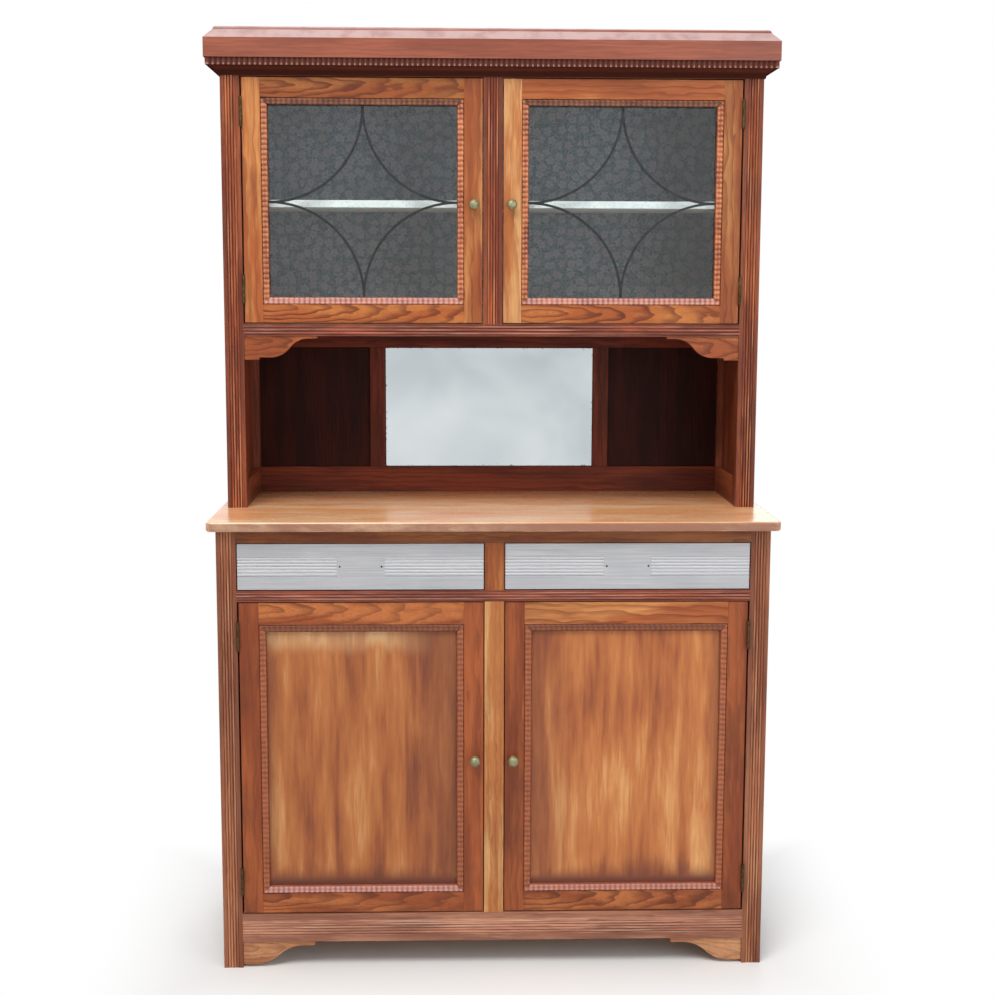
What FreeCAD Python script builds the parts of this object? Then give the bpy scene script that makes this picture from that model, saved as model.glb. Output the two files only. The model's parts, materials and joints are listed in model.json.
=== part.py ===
import FreeCAD, Part
import math
import os
import re

# Kitchen dresser in two stages: a cupboard base with two drawers and two panelled doors, and a glazed
# hutch that stands on the worktop above an open recess with a mirror.
# Millimetres. X to the viewer's right, Y from front to back, Z up.
# The origin is on the floor, in the middle of the worktop's plan.

Vector = FreeCAD.Vector

# Driving sizes
SIZES = {
    "worktop_width": 1160,
    "worktop_depth": 500,
    "worktop_thick": 20,
    "worktop_height": 946,
    "worktop_corner": 12,
    "worktop_round": 5,
    "front_overhang": 25,
    "base_width": 1126,
    "hutch_width": 1124,
    "hutch_depth": 290,
    "post_width": 40,
    "post_depth": 40,
    "rear_post_depth": 35,
    "post_reeds": 4,
    "post_reed_pitch": 5.8,
    "reed_sink": 2,
    "rail_thick": 22,
    "muntin_width": 40,
    "floor_clear": 56,
    "bottom_rail_height": 61,
    "bottom_rail_reeds": 4,
    "bottom_rail_reed_pitch": 6.2,
    "bottom_rail_reed_rise": 3,
    "frieze_height": 26,
    "mid_rail_height": 23,
    "mid_rail_reeds": 3,
    "mid_rail_reed_pitch": 6,
    "drawer_opening": 98,
    "recess_height": 364,
    "hutch_rail_height": 26,
    "hutch_rail_reeds": 3,
    "hutch_rail_reed_pitch": 7,
    "upper_opening": 506,
    "top_rail_height": 68,
    "top_board_thick": 16,
    "case_rail_height": 60,
    "case_rail_inset": 4,
    "side_panel_thick": 8,
    "side_panel_inset": 19,
    "board_thick": 18,
    "base_shelf_rise": 323,
    "base_shelf_setback": 75,
    "hutch_shelf_rise": 242,
    "hutch_shelf_thick": 15,
    "hutch_shelf_setback": 35,
    "bearer_width": 16,
    "bearer_height": 16,
    "bearer_lap": 5,
    "back_setback": 25,
    "back_panel_thick": 8,
    "back_board_count": 6,
    "recess_rail_low": 57,
    "recess_rail_high": 34,
    "recess_frame_thick": 22,
    "recess_panel_sink": 8,
    "mirror_width": 475,
    "mirror_thick": 4,
    "mirror_stile": 34,
    "bracket_inset": 3,
    "hutch_bracket_length": 153,
    "hutch_bracket_height": 50,
    "hutch_bracket_foot": 31,
    "hutch_bracket_step": 5,
    "hutch_bracket_flat": 24,
    "hutch_bracket_tip": 18,
    "hutch_bracket_tip_height": 5,
    "foot_bracket_length": 150,
    "foot_bracket_height": 50,
    "foot_bracket_foot": 26,
    "foot_bracket_tip": 25,
    "foot_bracket_tip_height": 10,
    "cornice_gap": 1,
    "cornice_projection": 29,
    "cornice_lip": 3,
    "cornice_cove": 18,
    "cornice_cove_reach": 20,
    "cornice_strip": 15,
    "cornice_fascia": 39,
    "cornice_slope": 18,
    "cornice_crown": 7,
    "ripple_pitch": 10.7,
    "ripple_depth": 2.4,
    "ripple_proud": 1.5,
    "ripple_width": 15,
    "cornice_ripple_thick": 6,
    "door_thick": 22,
    "door_setback": 2,
    "door_gap": 2,
    "hinge_gap": 3.2,
    "door_lip": 8,
    "lip_thick": 8,
    "upper_stile": 38,
    "upper_top_rail": 41,
    "upper_low_rail": 38,
    "lower_stile": 40,
    "lower_top_rail": 46,
    "lower_low_rail": 42,
    "glass_thick": 4,
    "panel_thick": 6,
    "came_web": 1.5,
    "came_face": 5,
    "came_flange": 1,
    "knob_diameter": 22,
    "knob_projection": 24,
    "knob_rose": 16,
    "knob_rose_thick": 2,
    "knob_neck": 9,
    "knob_neck_length": 8,
    "knob_edge": 17.5,
    "upper_knob_rise": 247,
    "lower_knob_rise": 329,
    "hinge_length": 60,
    "hinge_inset": 39,
    "knuckle_radius": 3.2,
    "knuckle_ahead": 3.2,
    "knuckle_clear": 0.4,
    "pin_radius": 1.5,
    "pin_clear": 0.05,
    "leaf_thick": 1.5,
    "stop_height": 30,
    "stop_drop": 12,
    "stop_reach": 14,
    "stop_thick": 12,
    "stop_clear": 0.3,
    "drawer_gap": 2,
    "drawer_front_thick": 22,
    "drawer_reeds": 6,
    "drawer_reed_pitch": 6.6,
    "drawer_block": 97,
    "pull_spacing": 85,
    "pull_hole": 4,
    "drawer_side": 12,
    "drawer_bottom": 6,
    "drawer_bottom_rise": 8,
    "drawer_box_drop": 8,
    "drawer_back_gap": 24,
    "runner_height": 15,
    "runner_width": 30,
    "runner_clear": 0.3,
    "guide_width": 16,
    "guide_height": 40,
}

# Places that follow from the driving sizes
PLACES = {
    "back": "worktop_depth / 2",
    "base_front": "front_overhang - worktop_depth / 2",
    "base_side": "base_width / 2",
    "base_inner": "base_width / 2 - post_width",
    "base_post_back": "base_front + post_depth",
    "rear_post_front": "back - rear_post_depth",
    "base_rail_back": "base_front + rail_thick",
    "half_muntin": "muntin_width / 2",
    "worktop_under": "worktop_height - worktop_thick",
    "lower_low": "floor_clear + bottom_rail_height",
    "drawer_high": "worktop_under - frieze_height",
    "drawer_low": "drawer_high - drawer_opening",
    "lower_high": "drawer_low - mid_rail_height",
    "base_shelf_height": "lower_low + base_shelf_rise",
    "lower_knob_height": "lower_low + lower_knob_rise",
    "back_front": "back - back_setback",
    "back_board_front": "back_front + recess_panel_sink",
    "hutch_front": "back - hutch_depth",
    "hutch_side": "hutch_width / 2",
    "hutch_inner": "hutch_width / 2 - post_width",
    "hutch_post_back": "hutch_front + post_depth",
    "hutch_rail_back": "hutch_front + rail_thick",
    "hutch_low": "worktop_height + recess_height",
    "upper_low": "hutch_low + hutch_rail_height",
    "upper_high": "upper_low + upper_opening",
    "hutch_shelf_height": "upper_low + hutch_shelf_rise",
    "upper_knob_height": "upper_low + upper_knob_rise",
    "hutch_high": "upper_high + top_rail_height",
    "recess_rail_top": "worktop_height + recess_rail_low",
    "recess_rail_under": "hutch_low - recess_rail_high",
    "half_mirror": "mirror_width / 2",
    "mirror_edge": "mirror_width / 2 + mirror_stile",
    "cornice_low": "upper_high + cornice_gap",
    "strip_low": "cornice_low + cornice_cove",
    "strip_high": "strip_low + cornice_strip",
    "runner_low": "drawer_low - runner_height",
}

doc = FreeCAD.newDocument("Dresser")
nodes = []


def fill_sheet(name, entries):
    """Makes a sheet with one named cell per entry."""
    sheet = doc.addObject("Spreadsheet::Sheet", name)
    for row, (alias, content) in enumerate(entries.items(), 1):
        sheet.set(f"A{row}", alias)
        sheet.set(f"B{row}", content)
        sheet.setAlias(f"B{row}", alias)
    return sheet


def bound(text):
    """Writes an expression on named sizes and places as one that the document can follow."""
    def with_sheet(word):
        sheet = "Sizes" if word.group() in SIZES else "Places"
        return f"{sheet}.{word.group()}"
    return re.sub(r"[a-z_]+", with_sheet, text)


def place_formula(text):
    """Writes a place's formula: sizes come from the other sheet, places from its own."""
    return "=" + re.sub(r"[a-z_]+", lambda w: f"Sizes.{w.group()}" if w.group() in SIZES else w.group(), text)


sizes = fill_sheet("Sizes", {alias: str(number) for alias, number in SIZES.items()})
doc.recompute()
places = fill_sheet("Places", {alias: place_formula(text) for alias, text in PLACES.items()})
doc.recompute()


def at(name):
    """The number behind a named size or place."""
    return float(sizes.get(name) if name in SIZES else places.get(name))


def count(name):
    """A named size that is a count."""
    return int(round(at(name)))


def put(piece, x, y, z):
    """Ties the place of a piece to expressions."""
    for axis, text in zip("xyz", (x, y, z)):
        piece.setExpression(f"Placement.Base.{axis}", bound(text))
    return piece


def box(x, y, z):
    """A board between two bounds on each axis, each bound an expression."""
    piece = doc.addObject("Part::Box", "Board")
    for side, (low, high) in zip(("Length", "Width", "Height"), (x, y, z)):
        piece.setExpression(side, bound(f"({high}) - ({low})"))
    return put(piece, x[0], y[0], z[0])


def rod(x, y, z, radius):
    """An upright cylinder between two heights."""
    piece = doc.addObject("Part::Cylinder", "Rod")
    piece.setExpression("Radius", bound(radius))
    piece.setExpression("Height", bound(f"({z[1]}) - ({z[0]})"))
    return put(piece, x, y, z[0])


def cut(base, tools):
    """The base less the tools."""
    piece = doc.addObject("Part::Cut", "Cut")
    piece.Base = base
    piece.Tool = tools[0] if len(tools) == 1 else fuse(tools)
    return piece


def fuse(pieces):
    """Several shapes as one solid."""
    piece = doc.addObject("Part::MultiFuse", "Fuse")
    piece.Shapes = pieces
    piece.Refine = True
    return piece


def solid(shape):
    """A shape made in code, as an object of the document."""
    piece = doc.addObject("Part::Feature", "Piece")
    piece.Shape = shape
    return piece


def node(label, pieces):
    """Names a sub-part: one piece, or a group of separate pieces."""
    piece = pieces[0]
    if len(pieces) > 1:
        piece = doc.addObject("Part::Compound", "Group")
        piece.Links = pieces
    piece.Label = label
    nodes.append(piece)


def span(sign, low, high):
    """Bounds on X at one side of the middle: sign -1 is left, 1 is right."""
    if sign > 0:
        return (low, high)
    return (f"-({high})", f"-({low})")


def both(low, high):
    """Bounds on X at the left and at the right."""
    return [span(-1, low, high), span(1, low, high)]


def wide(half):
    """Bounds on X that are even about the middle."""
    return (f"-({half})", half)


def line(start, end):
    return Part.LineSegment(Vector(*start, 0), Vector(*end, 0))


def arc(start, middle, end):
    return Part.Arc(Vector(*start, 0), Vector(*middle, 0), Vector(*end, 0))


def run(points):
    """Straight edges through points in a plane."""
    return [line(start, end) for start, end in zip(points, points[1:])]


def sketch_body(name, outline, role="XY_Plane"):
    """A body with a sketch of the outline on one of its own planes."""
    body = doc.addObject("PartDesign::Body", name)
    sketch = body.newObject("Sketcher::SketchObject", f"{name}Outline")
    plane = next(item for item in body.Origin.OriginFeatures if item.Role == role)
    sketch.AttachmentSupport = [(plane, "")]
    sketch.MapMode = "FlatFace"
    for edge in outline:
        sketch.addGeometry(edge, False)
    return body, sketch


def pad_body(name, outline, length):
    """A profile padded along its own Z to a length that follows an expression."""
    body, sketch = sketch_body(name, outline)
    pad = body.newObject("PartDesign::Pad", f"{name}Pad")
    pad.Profile = sketch
    pad.setExpression("Length", bound(length))
    sketch.Visibility = False
    return body


def turn(body, axis, degrees):
    """Turns a body before its place is tied."""
    body.Placement = FreeCAD.Placement(Vector(), FreeCAD.Rotation(axis, degrees))
    return body


def reeded_outline(width, depth, reeds, pitch, shift=0):
    """Section of a bar whose front edge, at zero depth, carries a sunk band of round reeds."""
    sink = at("reed_sink")
    low = shift - reeds * pitch / 2
    high = shift + reeds * pitch / 2
    edges = run([(high, sink), (high, 0), (width / 2, 0), (width / 2, depth), (-width / 2, depth),
                 (-width / 2, 0), (low, 0), (low, sink)])
    for index in range(reeds):
        start = low + index * pitch
        edges.append(arc((start, sink), (start + pitch / 2, 0), (start + pitch, sink)))
    return edges


def upright_reeded(x, front, depth, z, width):
    """A reeded post or muntin."""
    outline = reeded_outline(at(width), at(depth), count("post_reeds"), at("post_reed_pitch"))
    return put(pad_body("Upright", outline, f"({z[1]}) - ({z[0]})"), x, front, z[0])


def level_reeded(x, front, depth, low, height, reeds, pitch, shift=0):
    """A reeded rail: its section's width stands upright, and its length runs along X."""
    outline = reeded_outline(at(height), at(depth), count(reeds), at(pitch), -shift)
    body = turn(pad_body("Rail", outline, f"({x[1]}) - ({x[0]})"), Vector(0, 1, 0), 90)
    return put(body, x[0], front, f"{low} + {height} / 2")


def worktop():
    """Board with round front corners and eased top and bottom edges, square at the back."""
    half = at("worktop_width") / 2
    front = -at("back")
    back = at("back")
    corner = at("worktop_corner")
    bevel = corner * (1 - math.sqrt(0.5))
    outline = run([(half, front + corner), (half, back), (-half, back), (-half, front + corner)])
    outline.append(arc((-half, front + corner), (-half + bevel, front + bevel), (-half + corner, front)))
    outline.append(line((-half + corner, front), (half - corner, front)))
    outline.append(arc((half - corner, front), (half - bevel, front + bevel), (half, front + corner)))
    body = pad_body("Worktop", outline, "worktop_thick")
    doc.recompute()
    pad = body.Tip
    eased = []
    for index, edge in enumerate(pad.Shape.Edges, 1):
        level = edge.BoundBox.ZLength < 1e-6
        if level and edge.CenterOfMass.y < back - 1e-6:
            eased.append(f"Edge{index}")
    rounding = body.newObject("PartDesign::Fillet", "Eased")
    rounding.Base = (pad, eased)
    rounding.setExpression("Radius", bound("worktop_round"))
    node("worktop", [put(body, "0", "0", "worktop_under")])


def base_case():
    """Posts, rails, panels and boards of the base."""
    posts = [upright_reeded(f"{sign} * (base_side - post_width / 2)", "base_front", "post_depth",
                            ("0", "worktop_under"), "post_width") for sign in ("-1", "1")]
    node("base_front_posts", posts)
    node("base_rear_posts", [box(x, ("rear_post_front", "back"), ("0", "worktop_under"))
                             for x in both("base_inner", "base_side")])
    deep = ("base_post_back", "rear_post_front")
    low_rail = ("floor_clear", "lower_low")
    high_rail = ("worktop_under - case_rail_height", "worktop_under")
    rails = [box(x, deep, z) for x in both("base_inner", "base_side - case_rail_inset")
             for z in (low_rail, high_rail)]
    rails.append(box(wide("base_inner"), ("back_board_front - rail_thick", "back_board_front"), high_rail))
    node("base_case_rails", rails)
    node("base_side_panels", [
        box(x, deep, ("lower_low", "worktop_under - case_rail_height"))
        for x in both("base_side - side_panel_inset - side_panel_thick", "base_side - side_panel_inset")])
    thick = ("base_front", "base_rail_back")
    node("frieze_rail", [box(wide("base_inner"), thick, ("drawer_high", "worktop_under"))])
    node("mid_rail", [level_reeded(wide("base_inner"), "base_front", "rail_thick", "lower_high",
                                   "mid_rail_height", "mid_rail_reeds", "mid_rail_reed_pitch")])
    node("base_muntins", [box(wide("half_muntin"), thick, ("lower_low", "lower_high")),
                          box(wide("half_muntin"), thick, ("drawer_low", "drawer_high"))])
    node("bottom_rail", [level_reeded(wide("base_inner"), "base_front", "rail_thick", "floor_clear",
                                      "bottom_rail_height", "bottom_rail_reeds",
                                      "bottom_rail_reed_pitch", -at("bottom_rail_reed_rise"))])
    node("base_floor", [box(wide("base_inner"), ("base_rail_back", "back_board_front"),
                            ("lower_low - board_thick", "lower_low"))])
    node("base_shelf", [box(wide("base_inner"), ("base_front + base_shelf_setback", "back_board_front"),
                            ("base_shelf_height", "base_shelf_height + board_thick"))])
    boards = count("back_board_count")
    node("base_back_boards", [
        box((f"-base_inner + {index} * 2 * base_inner / back_board_count",
             f"-base_inner + {index + 1} * 2 * base_inner / back_board_count"),
            ("back_board_front", "back_board_front + back_panel_thick"),
            ("floor_clear", "worktop_under")) for index in range(boards)])
    runner = ("runner_low", "drawer_low")
    runners = [box(x, ("base_post_back - bearer_lap", "rear_post_front + bearer_lap"), runner)
               for x in both("base_inner - runner_width", "base_inner")]
    runners.append(box(wide("runner_width"), ("base_rail_back", "back_board_front"), runner))
    runners.append(box(wide("guide_width / 2"), ("base_rail_back", "back_board_front"),
                       ("drawer_low", "drawer_low + guide_height")))
    node("drawer_runners", runners)


def hutch_case():
    """Posts, rails, panels and boards of the hutch."""
    posts = [upright_reeded(f"{sign} * (hutch_side - post_width / 2)", "hutch_front", "post_depth",
                            ("worktop_height", "hutch_high"), "post_width") for sign in ("-1", "1")]
    node("hutch_front_posts", posts)
    node("hutch_rear_posts", [box(x, ("rear_post_front", "back"), ("worktop_height", "hutch_high"))
                              for x in both("hutch_inner", "hutch_side")])
    deep = ("hutch_post_back", "rear_post_front")
    low = ("worktop_height", "recess_rail_top")
    middle = ("recess_rail_under", "upper_low")
    high = ("upper_high", "hutch_high")
    node("hutch_side_rails", [box(x, deep, z)
                              for x in both("hutch_inner", "hutch_side - case_rail_inset")
                              for z in (low, middle, high)])
    node("hutch_side_panels", [
        box(x, deep, z)
        for x in both("hutch_side - side_panel_inset - side_panel_thick", "hutch_side - side_panel_inset")
        for z in (("recess_rail_top", "recess_rail_under"), ("upper_low", "upper_high"))])
    thick = ("hutch_front", "hutch_rail_back")
    node("hutch_muntin", [upright_reeded("0", "hutch_front", "rail_thick", ("upper_low", "upper_high"),
                                         "muntin_width")])
    node("hutch_bottom_rail", [level_reeded(wide("hutch_inner"), "hutch_front", "rail_thick", "hutch_low",
                                            "hutch_rail_height", "hutch_rail_reeds",
                                            "hutch_rail_reed_pitch")])
    node("hutch_top_rail", [box(wide("hutch_inner"), thick, high)])
    node("hutch_floor", [box(wide("hutch_inner"), ("hutch_rail_back", "back_front"),
                             ("upper_low - board_thick", "upper_low"))])
    node("hutch_shelf", [box(wide("hutch_inner"), ("hutch_front + hutch_shelf_setback", "back_front"),
                             ("hutch_shelf_height", "hutch_shelf_height + hutch_shelf_thick"))])
    bearers = [box(x, ("base_post_back - bearer_lap", "rear_post_front + bearer_lap"),
                   ("base_shelf_height - bearer_height", "base_shelf_height"))
               for x in both("base_inner - bearer_width", "base_inner")]
    bearers += [box(x, ("hutch_post_back - bearer_lap", "rear_post_front + bearer_lap"),
                    ("hutch_shelf_height - bearer_height", "hutch_shelf_height"))
                for x in both("hutch_inner - bearer_width", "hutch_inner")]
    node("shelf_bearers", bearers)
    node("hutch_back_panel", [box(wide("hutch_inner"), ("back_front", "back_front + back_panel_thick"),
                                  ("hutch_low", "hutch_high"))])
    node("hutch_top_board", [box(wide("hutch_side"), ("hutch_front", "back"),
                                 ("hutch_high", "hutch_high + top_board_thick"))])


def recess():
    """Framed back of the recess, its sunk panels and the mirror."""
    thick = ("back_front", "back_front + recess_frame_thick")
    stile = ("recess_rail_top", "recess_rail_under")
    frame = [box(wide("hutch_inner"), thick, ("worktop_height", "recess_rail_top")),
             box(wide("hutch_inner"), thick, ("recess_rail_under", "hutch_low"))]
    frame += [box(x, thick, stile) for x in both("half_mirror", "mirror_edge")]
    node("recess_back_frame", frame)
    sunk = ("back_board_front", "back_board_front + back_panel_thick")
    panels = [box(x, sunk, stile) for x in both("mirror_edge", "hutch_inner")]
    panels.append(box(wide("half_mirror"), sunk, stile))
    node("recess_back_panels", panels)
    node("mirror", [box(wide("half_mirror"), ("back_board_front - mirror_thick", "back_board_front"),
                        stile)])


def ogee(start, end):
    """Two equal arcs, level at both ends, that meet half way."""
    half_run = (end[0] - start[0]) / 2
    half_rise = (end[1] - start[1]) / 2
    middle = (start[0] + half_run, start[1] + half_rise)
    radius = (half_run ** 2 + half_rise ** 2) / (2 * abs(half_rise))
    angle = math.asin(half_run / radius) / 2
    ahead = radius * math.sin(angle)
    aside = math.copysign(radius * (1 - math.cos(angle)), half_rise)
    return [arc(start, (start[0] + ahead, start[1] + aside), middle),
            arc(middle, (end[0] - ahead, end[1] - aside), end)]


def bracket_outline(sign, length, height, foot, step, flat, tip, tip_height):
    """Scrolled bracket below its rail: X runs away from the post, Y is up, the corner is at zero."""
    def side(points):
        return [(sign * x, y) for x, y in points]
    rise = (foot + flat, step - height)
    fall = (length - tip, -tip_height)
    outer = [(0, 0), (0, -height), (foot, -height), (foot, step - height), rise]
    kept = [point for index, point in enumerate(outer) if index == 0 or point != outer[index - 1]]
    edges = run(side(kept)) + run(side([fall, (length, -tip_height), (length, 0), (0, 0)]))
    return edges + ogee((sign * rise[0], rise[1]), (sign * fall[0], fall[1]))


def bracket(sign, outline, inner, front, top, thick):
    """A bracket stood up in the front plane, beside its post."""
    body = turn(pad_body("Bracket", outline, thick), Vector(1, 0, 0), 90)
    return put(body, f"{sign} * {inner}", f"{front} + bracket_inset + {thick}", top)


def brackets():
    """Brackets under the hutch rail and at the feet."""
    under = []
    feet = []
    for sign in (-1, 1):
        scroll = bracket_outline(-sign, at("hutch_bracket_length"), at("hutch_bracket_height"),
                                 at("hutch_bracket_foot"), at("hutch_bracket_step"),
                                 at("hutch_bracket_flat"), at("hutch_bracket_tip"),
                                 at("hutch_bracket_tip_height"))
        under.append(bracket(sign, scroll, "hutch_inner", "hutch_front", "hutch_low",
                             "(rail_thick - bracket_inset)"))
        foot = bracket_outline(-sign, at("foot_bracket_length"), at("foot_bracket_height"),
                               at("foot_bracket_foot"), 0, 0, at("foot_bracket_tip"),
                               at("foot_bracket_tip_height"))
        feet.append(bracket(sign, foot, "base_inner", "base_front", "floor_clear",
                            "(rail_thick - bracket_inset)"))
    node("hutch_brackets", under)
    node("foot_brackets", feet)


def face(edges):
    """A flat face from edges in the XY plane."""
    wire = Part.Wire(Part.__sortEdges__([edge.toShape() for edge in edges]))
    return Part.Face(wire)


def cornice_section():
    """Section of the cornice: reach from the case along X, height above its foot along Y."""
    reach = at("cornice_projection")
    lip = at("cornice_lip")
    cove_top = (at("cornice_cove_reach"), at("cornice_cove"))
    strip_top = at("cornice_cove") + at("cornice_strip")
    fascia_top = strip_top + at("cornice_fascia")
    slope = at("cornice_slope")
    crown = at("cornice_crown")
    crown_foot = (reach - slope, fascia_top + slope)
    top = crown_foot[1] + crown
    hollow = ((lip + cove_top[0]) / 2 - crown / 2, cove_top[1] / 2 + crown / 2)
    curve = crown * (1 - math.sqrt(0.5))
    edges = run([(0, top), (0, 0), (lip, 0)])
    edges.append(arc((lip, 0), hollow, cove_top))
    edges += run([cove_top, (cove_top[0], strip_top), (reach, strip_top), (reach, fascia_top), crown_foot])
    edges.append(arc(crown_foot, (crown_foot[0] - curve, top - curve), (crown_foot[0] - crown, top)))
    edges.append(line((crown_foot[0] - crown, top), (0, top)))
    return face(edges), top


def plan_prism(points, low, high):
    """An upright prism over a plan."""
    corners = [Vector(x, y, low) for x, y in points]
    plan = Part.Face(Part.makePolygon(corners + corners[:1]))
    return plan.extrude(Vector(0, 0, high - low))


def ripples(length, pitch, depth):
    """Places and depths along a strip: valleys between even crests, starting and ending in a valley."""
    number = max(1, round(length / pitch))
    step = length / number
    return [(index * step / 2, depth * (1 - index % 2)) for index in range(2 * number + 1)]


def cornice():
    """Mitred front and returns, and the ripple strips let into them."""
    section, top = cornice_section()
    low = at("cornice_low")
    side = at("hutch_side")
    front = at("hutch_front")
    back = at("back")
    reach = at("cornice_projection")
    lengths = []
    level = section.copy()
    level.Placement = FreeCAD.Placement(Vector(-side - reach, front, low),
                                        FreeCAD.Rotation(Vector(0, -1, 0), Vector(0, 0, 1), Vector(-1, 0, 0)))
    plan = [(-side, front), (side, front), (side + reach, front - reach), (-side - reach, front - reach)]
    mitre = plan_prism(plan, low, low + top)
    lengths.append(solid(level.extrude(Vector(2 * (side + reach), 0, 0)).common(mitre)))
    for sign in (-1, 1):
        level = section.copy()
        level.Placement = FreeCAD.Placement(
            Vector(sign * side, front - reach, low),
            FreeCAD.Rotation(Vector(sign, 0, 0), Vector(0, 0, 1), Vector(0, -sign, 0)))
        plan = [(sign * side, front), (sign * side, back), (sign * (side + reach), back),
                (sign * (side + reach), front - reach)]
        mitre = plan_prism(plan, low, low + top)
        lengths.append(solid(level.extrude(Vector(0, back - front + reach, 0)).common(mitre)))
    node("cornice", lengths)
    inner = at("cornice_cove_reach")
    outer = inner + at("cornice_ripple_thick")
    depth = at("ripple_depth")
    pitch = at("ripple_pitch")
    bounds = (at("strip_low"), at("strip_high"))
    run_x = ripples(2 * (side + outer), pitch, depth)
    front_plan = [(side + inner, front - inner), (-side - inner, front - inner)]
    front_plan += [(-side - outer, front - outer)]
    front_plan += [(x - side - outer, front - outer + sink) for x, sink in run_x[1:-1]]
    front_plan += [(side + outer, front - outer)]
    strips = [solid(plan_prism(front_plan, *bounds))]
    run_y = ripples(back - front + outer, pitch, depth)
    for sign in (-1, 1):
        plan = [(sign * (side + inner), back), (sign * (side + inner), front - inner)]
        plan += [(sign * (side + outer), front - outer)]
        plan += [(sign * (side + outer - sink), front - outer + y) for y, sink in run_y[1:]]
        strips.append(solid(plan_prism(plan, *bounds)))
    node("cornice_ripple", strips)


def ripple_strip(length, width, thick):
    """One mitred side of a ripple frame: length along X, outer edge at Z zero, crests at Y zero."""
    wave = ripples(length, at("ripple_pitch"), at("ripple_depth"))
    bar = plan_prism(wave + [(length, thick), (0, thick)], 0, width)
    corners = [Vector(0, 0, 0), Vector(length, 0, 0)]
    corners += [Vector(length - width, 0, width), Vector(width, 0, width)]
    mitre = Part.Face(Part.makePolygon(corners + corners[:1])).extrude(Vector(0, thick, 0))
    return bar.common(mitre)


def ripple_frame(label, x, z, front, thick):
    """Four mitred ripple strips round an opening."""
    wide_strip = ripple_strip(x[1] - x[0], at("ripple_width"), thick)
    tall_strip = ripple_strip(z[1] - z[0], at("ripple_width"), thick)
    sides = [(wide_strip, (x[0], z[0]), 0), (wide_strip, (x[1], z[1]), 180),
             (tall_strip, (x[0], z[1]), 90), (tall_strip, (x[1], z[0]), -90)]
    strips = []
    for shape, corner, degrees in sides:
        strip = solid(shape)
        strip.Placement = FreeCAD.Placement(Vector(corner[0], front, corner[1]),
                                            FreeCAD.Rotation(Vector(0, 1, 0), degrees))
        strips.append(strip)
    node(label, strips)


def door_frame(label, door, stile, top_rail, low_rail):
    """Stiles that run through, and rails between them, with a step at the back for glass or panel."""
    left, right = door["x"]
    low, high = door["z"]
    front = door["front"]
    depth = (front, f"{front} + door_thick")
    step = (front, f"{front} + door_thick - lip_thick")
    lip = (step[1], depth[1])
    inner_left = f"{left} + {stile}"
    inner_right = f"{right} - {stile}"
    tall = (low, high)
    stiles = [cut(box((left, f"{inner_left} + door_lip"), depth, tall),
                  [box((inner_left, f"{inner_left} + door_lip"), step, tall)]),
              cut(box((f"{inner_right} - door_lip", right), depth, tall),
                  [box((f"{inner_right} - door_lip", inner_right), step, tall)])]
    between = (inner_left, inner_right)
    short = (f"{inner_left} + door_lip", f"{inner_right} - door_lip")
    sight_low = f"{low} + {low_rail}"
    sight_high = f"{high} - {top_rail}"
    bars = [((low, sight_low), (sight_low, f"{sight_low} + door_lip")),
            ((sight_high, high), (f"{sight_high} - door_lip", sight_high))]
    rails = []
    for bar, lip_bar in bars:
        rails.append(fuse([box(between, step, bar), box(short, lip, bar), box(short, lip, lip_bar)]))
    node(label, stiles + rails)


def rectangle(x, z, y, thick):
    """A plate in the front plane."""
    return Part.makeBox(x[1] - x[0], thick, z[1] - z[0], Vector(x[0], y, z[0]))


def ring(centre, radius, width, y, thick):
    """A flat ring in the front plane."""
    axis = Vector(0, 1, 0)
    base = Vector(centre[0], y, centre[1])
    outer = Part.makeCylinder(radius + width / 2, thick, base, axis)
    return outer.cut(Part.makeCylinder(radius - width / 2, thick, base, axis))


def circle_through(first, middle, last):
    """Centre and radius of the circle through three points in the front plane."""
    circle = Part.Circle(Vector(first[0], 0, first[1]), Vector(middle[0], 0, middle[1]),
                         Vector(last[0], 0, last[1]))
    return (circle.Center.x, circle.Center.z), circle.Radius


def star_lines(x, z, limits, width, y, thick):
    """Four arcs from the middle of each side to the next, bent towards the middle and cut at the limits."""
    centre = ((x[0] + x[1]) / 2, (z[0] + z[1]) / 2)
    half = ((x[1] - x[0]) / 2, (z[1] - z[0]) / 2)
    waist = 1 - math.sqrt(0.5)
    arcs = []
    for across in (0, 1):
        for up in (0, 1):
            side = (2 * across - 1, 2 * up - 1)
            bend = (centre[0] + side[0] * waist * half[0], centre[1] + side[1] * waist * half[1])
            middle, radius = circle_through((x[across], centre[1]), bend, (centre[0], z[up]))
            quarter = rectangle(sorted((centre[0], limits[0][across])), sorted((centre[1], limits[1][up])),
                                y, thick)
            arcs.append(ring(middle, radius, width, y, thick).common(quarter))
    return arcs[0].multiFuse(arcs[1:]).removeSplitter()


def leaded_glass(name, pane, sight, front):
    """Glass cut to a four-point star and its corners, and the lead came between the pieces."""
    thick = at("glass_thick")
    flange = at("came_flange")
    web = star_lines(*sight, pane, at("came_web"), front, thick)
    plate = rectangle(*pane, front, thick).cut(web)
    node(f"{name}_glass", [solid(piece) for piece in plate.Solids])
    faces = (front - flange, front + thick)
    face_lines = [star_lines(*sight, sight, at("came_face"), y, flange) for y in faces]
    node(f"{name}_came", [solid(web.multiFuse(face_lines).removeSplitter())])


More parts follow.
